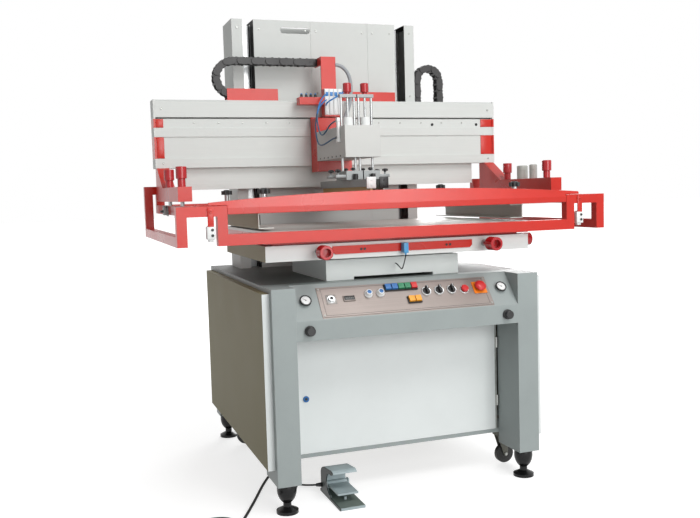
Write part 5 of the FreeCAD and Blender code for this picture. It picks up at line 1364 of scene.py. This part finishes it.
@dataclass
class Head:
    """Beam, arms, carrier, channels and adjusters."""

    beam_face: float = 769.0
    set_back: float = 6.0
    patch_ends: tuple[Pair, Pair] = ((-751.0, -722.0), (694.0, 751.0))
    face_levels: Pair = (1233.0, 1317.0)
    rail_levels: Pair = (1355.0, 1389.0)
    face_holes: Pair = (454.0, 673.0)
    hole_level: float = 1366.0
    rail_screws: range = range(-600, 601, 100)
    rail_level: float = 1374.0
    end_screws: float = 728.0
    end_levels: Pair = (1213.0, 1430.0)
    carrier_face: float = 6.0
    catch_across: Pair = (677.0, 697.0)
    strap: float = 4.0
    catch: float = 5.0
    post_inner: float = 632.0
    rail_depth: Pair = (15.0, 38.0)
    rail_height: Pair = (1021.8, 1045.6)
    cut_metres: float = -0.4
    cover_half: float = 690.0
    cover_lip: Pair = (1020.0, 1038.5)
    cover_foot: float = 1048.0
    cover_ends: float = 1056.0
    cover_crown: float = 1082.5
    cover_lean: float = 28.0
    cover_top: float = 12.0
    cover_fold: float = 20.0
    cover_sheet: float = 3.0
    cover_round: float = 0.8
    cover_columns: int = 50

    def end_patches(self) -> None:
        """Red plates at both ends of the beam's set-back faces."""
        mesh = bmesh.new()
        for across in self.patch_ends:
            for levels in (self.face_levels, self.rail_levels):
                block(mesh, across, (self.beam_face + 2.6, self.beam_face + self.set_back + 0.2), levels, 0.8)
        finish_piece("beam_end_plates", mesh, Finishes.RED, "head")

    def cover_place(self, across: float, height: float) -> Vector:
        """A point on the front cover's leaning face."""
        rise = height - self.cover_lip[1]
        return at(across, self.carrier_face + 2.0 + rise * math.tan(math.radians(self.cover_lean)), height)

    def front_cover(self) -> bpy.types.Object:
        """The bowed sheet over the carrier's front: an upright lip, a leaning face and folded edges.

        Returns:
            The cover.
        """
        mesh = bmesh.new()
        last, inner = self.cover_columns, self.post_inner - 0.6
        bmesh.ops.create_grid(mesh, x_segments=last, y_segments=1, size=0.5)
        foot, crest = [], []
        for vert in mesh.verts:
            index = round((vert.co.x + 0.5) * last)
            across = inner * (2.0 * (index - 1) / (last - 2) - 1.0)
            if index in (0, last):
                across = math.copysign(self.cover_half, across)
            crown = self.cover_crown - (self.cover_crown - self.cover_ends) * (across / self.cover_half) ** 2
            upper = vert.co.y > 0.0
            (crest if upper else foot).append(vert)
            vert.co = self.cover_place(across, crown if upper else self.cover_foot)
        low, high = self.cover_lip
        row = [vert for vert in foot if abs(vert.co.x) < self.post_inner * MM]
        self.fold(mesh, crest, -FORWARD * self.cover_top * MM)
        for way in (self.cover_place(0.0, high) - self.cover_place(0.0, self.cover_foot), DOWN * (high - low) * MM,
                    -FORWARD * self.cover_fold * MM):
            row = self.fold(mesh, row, way)
        cover = finish_piece("front_cover", mesh, Finishes.RED, "carrier", 18.0)
        sheet = cover.modifiers.new("sheet", "SOLIDIFY")
        sheet.thickness, sheet.offset = self.cover_sheet * MM, 0.0
        soft = cover.modifiers.new("soft_edges", "BEVEL")
        soft.width, soft.segments, soft.harden_normals = self.cover_round * MM, 2, True
        soft.limit_method, soft.angle_limit = "ANGLE", math.radians(20.0)
        return cover

    def fold(self, mesh: Mesh, row: list[bmesh.types.BMVert], way: Vector) -> list[bmesh.types.BMVert]:
        """Add a strip along a row of points.

        Args:
            mesh: The sheet's mesh.
            row: The points of one of its edges.
            way: From that edge to the strip's far one, in metres.

        Returns:
            The points of the far edge.
        """
        edges = {edge for vert in row for edge in vert.link_edges if edge.other_vert(vert) in row}
        new = bmesh.ops.extrude_edge_only(mesh, edges=list(edges))["geom"]
        made = [part for part in new if isinstance(part, bmesh.types.BMVert)]
        bmesh.ops.translate(mesh, vec=way, verts=made)
        return made

    def carrier(self) -> None:
        """The carrier's tubes, with the tube behind its front cover, and the cover."""
        tubes = copy_of("carrier_frame", lambda spot: spot.y > self.cut_metres)
        reach = self.post_inner + 0.2
        block(tubes, (-reach, reach), self.rail_depth, self.rail_height, 1.5)
        for piece in (finish_piece("carrier_tubes", tubes, Finishes.RED, "carrier"), self.front_cover()):
            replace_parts(piece, "carrier_frame")

    def catches(self) -> None:
        """Screen catches on the carrier's front: a red strap and a pale block on each side."""
        front = self.carrier_face
        for side in Side:
            strap, catch, holes = bmesh.new(), bmesh.new(), bmesh.new()
            low, high = sorted(side.value * edge for edge in self.catch_across)
            middle = (low + high) / 2.0
            block(strap, (low, high), (front - self.strap, front + 0.1), (984.0, 1042.0), 1.0)
            screw(strap, at(middle, front - self.strap, 1029.0), FORWARD, 5.0)
            block(strap, (low, high), (front - self.strap, 20.0), (981.0, 985.0), 1.0)
            block(catch, (low - 4.0, high + 4.0), (front - self.catch, 26.0), (940.0, 982.0), 3.0)
            block(catch, (low + 2.0, high - 2.0), (8.0, 22.0), (932.0, 941.0), 1.5)
            for height in (971.0, 953.0):
                screw(holes, at(middle + 4.0, front - self.catch, height), FORWARD, 4.6)
            finish_piece(f"catch_strap_{side.word}", strap, Finishes.RED, "carrier")
            finish_piece(f"catch_block_{side.word}", catch, Finishes.WHITE, "carrier")
            finish_piece(f"catch_screws_{side.word}", holes, Finishes.BLACK, "carrier")

    def air_boss(self) -> None:
        """The air connection on the left rail: a grey body with two black fittings."""
        body, ends = bmesh.new(), bmesh.new()
        block(body, (-766.0, -750.0), (538.0, 566.0), (1012.0, 1040.0), 3.0)
        block(body, (-751.0, -747.9), (532.0, 572.0), (1008.0, 1044.0), 1.0)
        turned(body, [(0.0, 8.0), (7.0, 8.0), (8.5, 7.0), (8.5, -0.3)], at(-758.0, 552.0, 1040.0), UP, 6)
        for depth in (545.0, 559.0):
            turned(ends, [(0.0, 10.0), (3.2, 10.0), (4.2, 9.0), (4.2, 4.0), (5.4, 4.0), (5.4, -0.3)],
                   at(-766.0, depth, 1026.0), -RIGHT, 20)
        finish_piece("air_boss", body, Finishes.CLAMP, "carrier")
        finish_piece("air_boss_fittings", ends, Finishes.BLACK, "carrier")

    def nodes(self) -> None:
        """Finish the head's nodes."""
        silver = [(Zone(across=ends, height=levels), Finishes.BEAM) for ends in ((None, -751.5), (751.5, None))
                  for levels in ((1193.9, 1232.0), (1318.0, 1354.0), (1390.0, None))]
        dampers = (Zone(across=(700.0, None), depth=(370.0, 505.0), height=(1113.1, 1172.0)), Finishes.CHANNEL)
        # The thin band at the beam's groove is painted dark: painted shade in the recess.
        dress("beam", Skin(Finishes.BEAM, [(Zone(depth=(853.5, None)), Finishes.STEEL),
                                           (Zone(height=(1390.2, 1395.8)), Finishes.DECK)]))
        dress("head_arms", Skin(Finishes.RED, [*silver, dampers]))
        for side in Side:
            # The left channel's outer face is painted brown as painted shade.
            dress(f"frame_channel_{side.word}", Skin(Finishes.CHANNEL, [
                (Zone(across=(None, -507.6)), Finishes.PANEL)]))
            for end in End:
                corner = f"{end.value}_{side.word}"
                dress(f"height_knob_{corner}", Skin(Finishes.KNOB, [(Zone(height=(None, 1113.2)), Finishes.STEEL)]))
                dress(f"clamp_knob_{corner}", Skin(Finishes.BLACK, [(Zone(height=(None, 1081.0)), Finishes.STEEL)]))

    def build(self) -> None:
        """Finish the head's nodes and add its fittings."""
        self.nodes()
        self.carrier()
        self.end_patches()
        self.catches()
        self.air_boss()
        inner = self.beam_face + self.set_back
        screws("face_holes", [at(across, inner, self.hole_level) for across in self.face_holes], FORWARD, "head", 6.0,
               Finishes.BLACK)
        screws("rail_screws", [at(across, inner, self.rail_level) for across in self.rail_screws], FORWARD, "head", 3.6)
        screws("cover_end_screws", [at(side.value * self.end_screws, self.beam_face, height) for side in Side
                                    for height in self.end_levels], FORWARD, "head")


@dataclass
class Carriage:
    """Carriage, print head, blades and their air tubes."""

    valve_left: float = -67.0
    valve_count: int = 4
    valve_pitch: float = 19.0
    valve_face: float = 704.0
    anchor: tuple[Pair, Pair, Pair] = ((-108.0, -66.5), (789.0, 821.0), (1613.0, 1643.5))
    head_side: float = -112.0
    axes: Pair = (-77.0, -7.0)
    caps: Pair = (164.0, 218.0)
    clamp_depths: Pair = (352.0, 436.0)
    clamp_reach: float = 74.0
    clamp_level: float = 1132.0
    clamp_thick: float = 12.0
    clamp_top: float = 1158.0
    tray_first: Triple = (-160.0, 724.0, 1473.0)
    tray_pitch: float = 20.0
    loop_level: float = 1400.0
    tube: float = 6.0
    tubes: tuple[tuple[str, tuple[Triple, ...]], ...] = (
        ("upper_loop", ((-58, 700, 1486), (-74, 688, 1480), (-104, 668, 1440), (-124, 640, 1380), (-131, 590, 1324),
                        (-131, 556, 1304), (-129, 520, 1312), (-124, 474, 1340), (-119, 436, 1350), (-118, 412, 1350))),
        ("lower_loop", ((-60, 700, 1462), (-80, 690, 1452), (-114, 664, 1410), (-134, 632, 1340), (-140, 590, 1280),
                        (-139, 550, 1264), (-134, 500, 1270), (-124, 460, 1282), (-119, 434, 1287), (-118, 412, 1287))),
        ("cross_tube", ((-62, 700, 1440), (-66, 688, 1444), (-54, 676, 1456), (-28, 668, 1470), (0, 672, 1486),
                        (14, 690, 1494), (12, 712, 1496), (8, 722, 1496))))
    conduit_diameter: float = 15.0
    conduit: tuple[Triple, ...] = (
        (-4, 741, 1612), (10, 741, 1612), (36, 740, 1600), (58, 737, 1566), (62, 733, 1520), (58, 731, 1470),
        (46, 730, 1426), (30, 728, 1396), (24, 727, 1384))

    def valves(self) -> None:
        """The valve block's bodies, the plugs on them and the chain's anchor on the mast."""
        bodies, plugs, anchor = bmesh.new(), bmesh.new(), bmesh.new()
        face = self.valve_face
        for index in range(self.valve_count):
            low = self.valve_left + self.valve_pitch * index + 0.6
            high = low + self.valve_pitch - 1.2
            block(bodies, (low, high), (face - 5.0, face + 0.2), (1402.0, 1506.0), 1.2)
            block(plugs, (low + 3.0, high - 3.0), (face - 7.5, face - 4.8), (1478.0, 1494.0), 0.8)
            screw(bodies, at((low + high) / 2.0, face - 5.0, 1416.0), FORWARD, 3.0)
        block(anchor, *self.anchor, 1.5)
        for across in (-98.0, -78.0):
            screw(anchor, at(across, self.anchor[1][0], 1628.0), FORWARD, 4.0)
        finish_piece("valve_bodies", bodies, Finishes.WHITE, "carriage")
        finish_piece("valve_plugs", plugs, Finishes.AIR, "carriage")
        finish_piece("chain_anchor", anchor, Finishes.BLACK, "carriage")

    def guide(self) -> None:
        """The slim cylinder on the print head's left side, with its two air fittings."""
        body, ends = bmesh.new(), bmesh.new()
        side = self.head_side
        block(body, (side - 11.0, side + 0.1), (385.0, 401.0), (1274.0, 1355.0), 3.0)
        for levels in ((1268.0, 1282.0), (1345.0, 1361.0)):
            block(body, (side - 12.5, side + 0.1), (383.5, 402.5), levels, 1.5)
        for height in (1287.0, 1350.0):
            turned(ends, [(0.0, 14.0), (4.2, 14.0), (4.8, 12.5), (4.8, 5.5), (6.0, 5.5), (6.0, -0.4)],
                   at(side - 6.0, 402.0, height), -FORWARD, 24)
        for index in range(6):
            screw(ends, at(side, 390.0 + 50.0 * index, 1217.0), -RIGHT, 3.2)
        finish_piece("side_cylinder", body, Finishes.WHITE, "carriage")
        finish_piece("side_fittings", ends, Finishes.BLACK, "carriage")

    def tray_fittings(self) -> None:
        """Push-in elbows in a row on the fittings tray."""
        bodies, collars = bmesh.new(), bmesh.new()
        for index in range(4):
            spot = at(*self.tray_first) + RIGHT * self.tray_pitch * index * MM
            turned(bodies, [(0.0, 13.0), (4.5, 13.0), (5.6, 11.5), (5.6, 4.0), (7.0, 4.0), (7.0, -0.3)], spot, UP, 24)
            turned(collars, [(0.0, 17.0), (3.0, 17.0), (4.2, 16.0), (4.2, 12.6)], spot, UP, 24)
        finish_piece("tray_elbows", bodies, Finishes.BLACK, "carriage")
        finish_piece("tray_collars", collars, Finishes.AIR, "carriage")

    def blade_clamp(self, blade: str, side: Side, axis: float, front: float, cap: Finish) -> None:
        """A blade's clamp bars with their star knobs, and the caps on its holder's ends.

        Args:
            blade: The blade's node, which is also its body.
            side: The side that its clamp bars reach to.
            axis: Where the blade hangs across the machine, in millimetres.
            front: The holder's front end.
            cap: The finish of the cap there.
        """
        bars, knobs, caps = bmesh.new(), bmesh.new(), bmesh.new()
        reach = tuple(sorted(axis + side.value * away for away in (24.0, self.clamp_reach)))
        top = self.clamp_level + self.clamp_thick
        for depth in self.clamp_depths:
            block(bars, reach, (depth - 14.0, depth + 14.0), (self.clamp_level, top), 1.5)
            spot = at(axis + side.value * (self.clamp_reach - 14.0), depth, top)
            turned(bars, [(0.0, 9.0), (3.6, 9.0), (3.6, -0.3)], spot, UP, 20)
            star_knob(knobs, spot + UP * 8.0 * MM, UP, 12.0, 13.0)
            star_knob(knobs, at(axis, depth, self.clamp_top), UP, 10.0, 12.0)
        block(caps, (axis - 18.0, axis + 18.0), (front - 4.0, front + 3.0), (1089.0, 1131.0), 2.5)
        block(caps, (axis - 13.0, axis + 13.0), (front - 5.2, front - 3.8), (1094.0, 1126.0), 0.6)
        for height in (1101.0, 1119.0):
            screw(caps, at(axis, front - 5.2, height), FORWARD, 3.6)
        finish_piece(f"{blade}_clamp_bars", bars, Finishes.CLAMP, blade)
        finish_piece(f"{blade}_clamp_knobs", knobs, Finishes.BLACK, blade)
        finish_piece(f"{blade}_cap", caps, cap, blade)

    def build(self) -> None:
        """Finish the carriage's nodes and add valves, fittings and tubes."""
        dress("carriage_plate", Skin(Finishes.RED, [
            (Zone(across=(-66.9, None), depth=(None, 737.9), height=(1400.1, 1508.5)), Finishes.WHITE)]))
        dress("print_head", Skin(Finishes.HEAD, [(Zone(height=(1328.3, None)), Finishes.WHITE)]))
        wings = [(Zone(depth=pair, height=(1124.3, 1147.0)), Finishes.BLACK) for pair in ((313, 333), (455, 475))]
        upper = [(Zone(height=(1449.1, None)), Finishes.KNOB), (Zone(height=(1158.5, 1436.8)), Finishes.STEEL)]
        blades = (("squeegee", Finishes.BLADE, Finishes.WHITE), ("flood_bar", Finishes.STEEL, Finishes.BLACK))
        for (blade, edge, cap), side, axis, front in zip(blades, Side, self.axes, self.caps):
            dress(blade, Skin(Finishes.CLAMP, [(Zone(height=(None, 1095.8)), edge), *upper, *wings]))
            self.blade_clamp(blade, side, axis, front, cap)
        self.valves()
        self.guide()
        self.tray_fittings()
        look = Skin(Finishes.AIR, [(Zone(height=(None, self.loop_level)), Finishes.LOOP)])
        for name, route in self.tubes:
            Cord(name, route, self.tube, look, "carriage", stiffness=Stiffness.STIFF).build()
        Cord("mast_conduit", self.conduit, self.conduit_diameter, Finishes.CONDUIT, "carriage",
             stiffness=Stiffness.STIFF).build()


@dataclass
class Chain:
    """A cable chain in three runs: a fixed one, a bend and a moving one. Its places are in metres."""

    node: str
    runs: tuple[str, str, str]
    bodies: tuple[str, str]
    axis: Vector
    bend: float
    fixed_end: float
    moving_end: float
    in_bend: Callable[[Vector], bool]
    moves: Callable[[Vector], bool]
    far: float = 100.0

    def build(self) -> None:
        """Make each run of the chain a piece of its own, left in the machine's frame, in place of the chain's node."""
        spans = ((self.fixed_end, 2 * self.bend - self.fixed_end), (self.bend - self.far, self.bend + self.far),
                 (2 * self.bend - self.moving_end, self.moving_end))
        tests = (lambda spot: not self.in_bend(spot) and not self.moves(spot), self.in_bend,
                 lambda spot: not self.in_bend(spot) and self.moves(spot))
        for run, (start, end), keep in zip(self.runs, spans, tests):
            piece = finish_piece(f"{self.node}_{run}", copy_of(self.node, keep), Finishes.CHAIN, "", 40.0)
            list(self.bodies)
            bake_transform(piece)
            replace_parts(piece, self.node)


@dataclass
class Chains:
    """Cable chains of the carriage and of the lift. Places are in metres."""

    bend_across: float = -0.430
    upper_level: float = 1.600
    fixed_end: float = -0.245
    moving_end: float = -0.067
    bend_level: float = 1.575
    foot: float = 1.330
    leg_middle: float = 0.492

    def build(self) -> None:
        """Both chains."""
        Chain("carriage_chain", ("lower", "bend", "upper"), ("head", "carriage"), RIGHT, self.bend_across,
              self.fixed_end, self.moving_end, lambda spot: spot.x < self.bend_across,
              lambda spot: spot.z >= self.upper_level).build()
        Chain("lift_chain", ("fixed", "bend", "moving"), ("machine", "head"), UP, self.bend_level, self.foot,
              self.foot, lambda spot: spot.z > self.bend_level, lambda spot: spot.x >= self.leg_middle).build()


def main() -> None:
    """Build the stage and every sub-assembly in order, and report each piece."""
    for assembly in (Studio(), Leads(), Cabinet(), Console(), Table(), Column(), Head(), Carriage(), Chains()):
        assembly.build()
        log.info("built %s", type(assembly).__name__.lower())
    for piece in bpy.data.objects:
        if piece.type in {"MESH", "CURVE"}:
            log.info("piece %s", piece.name)


if __name__ == "__main__":
    main()
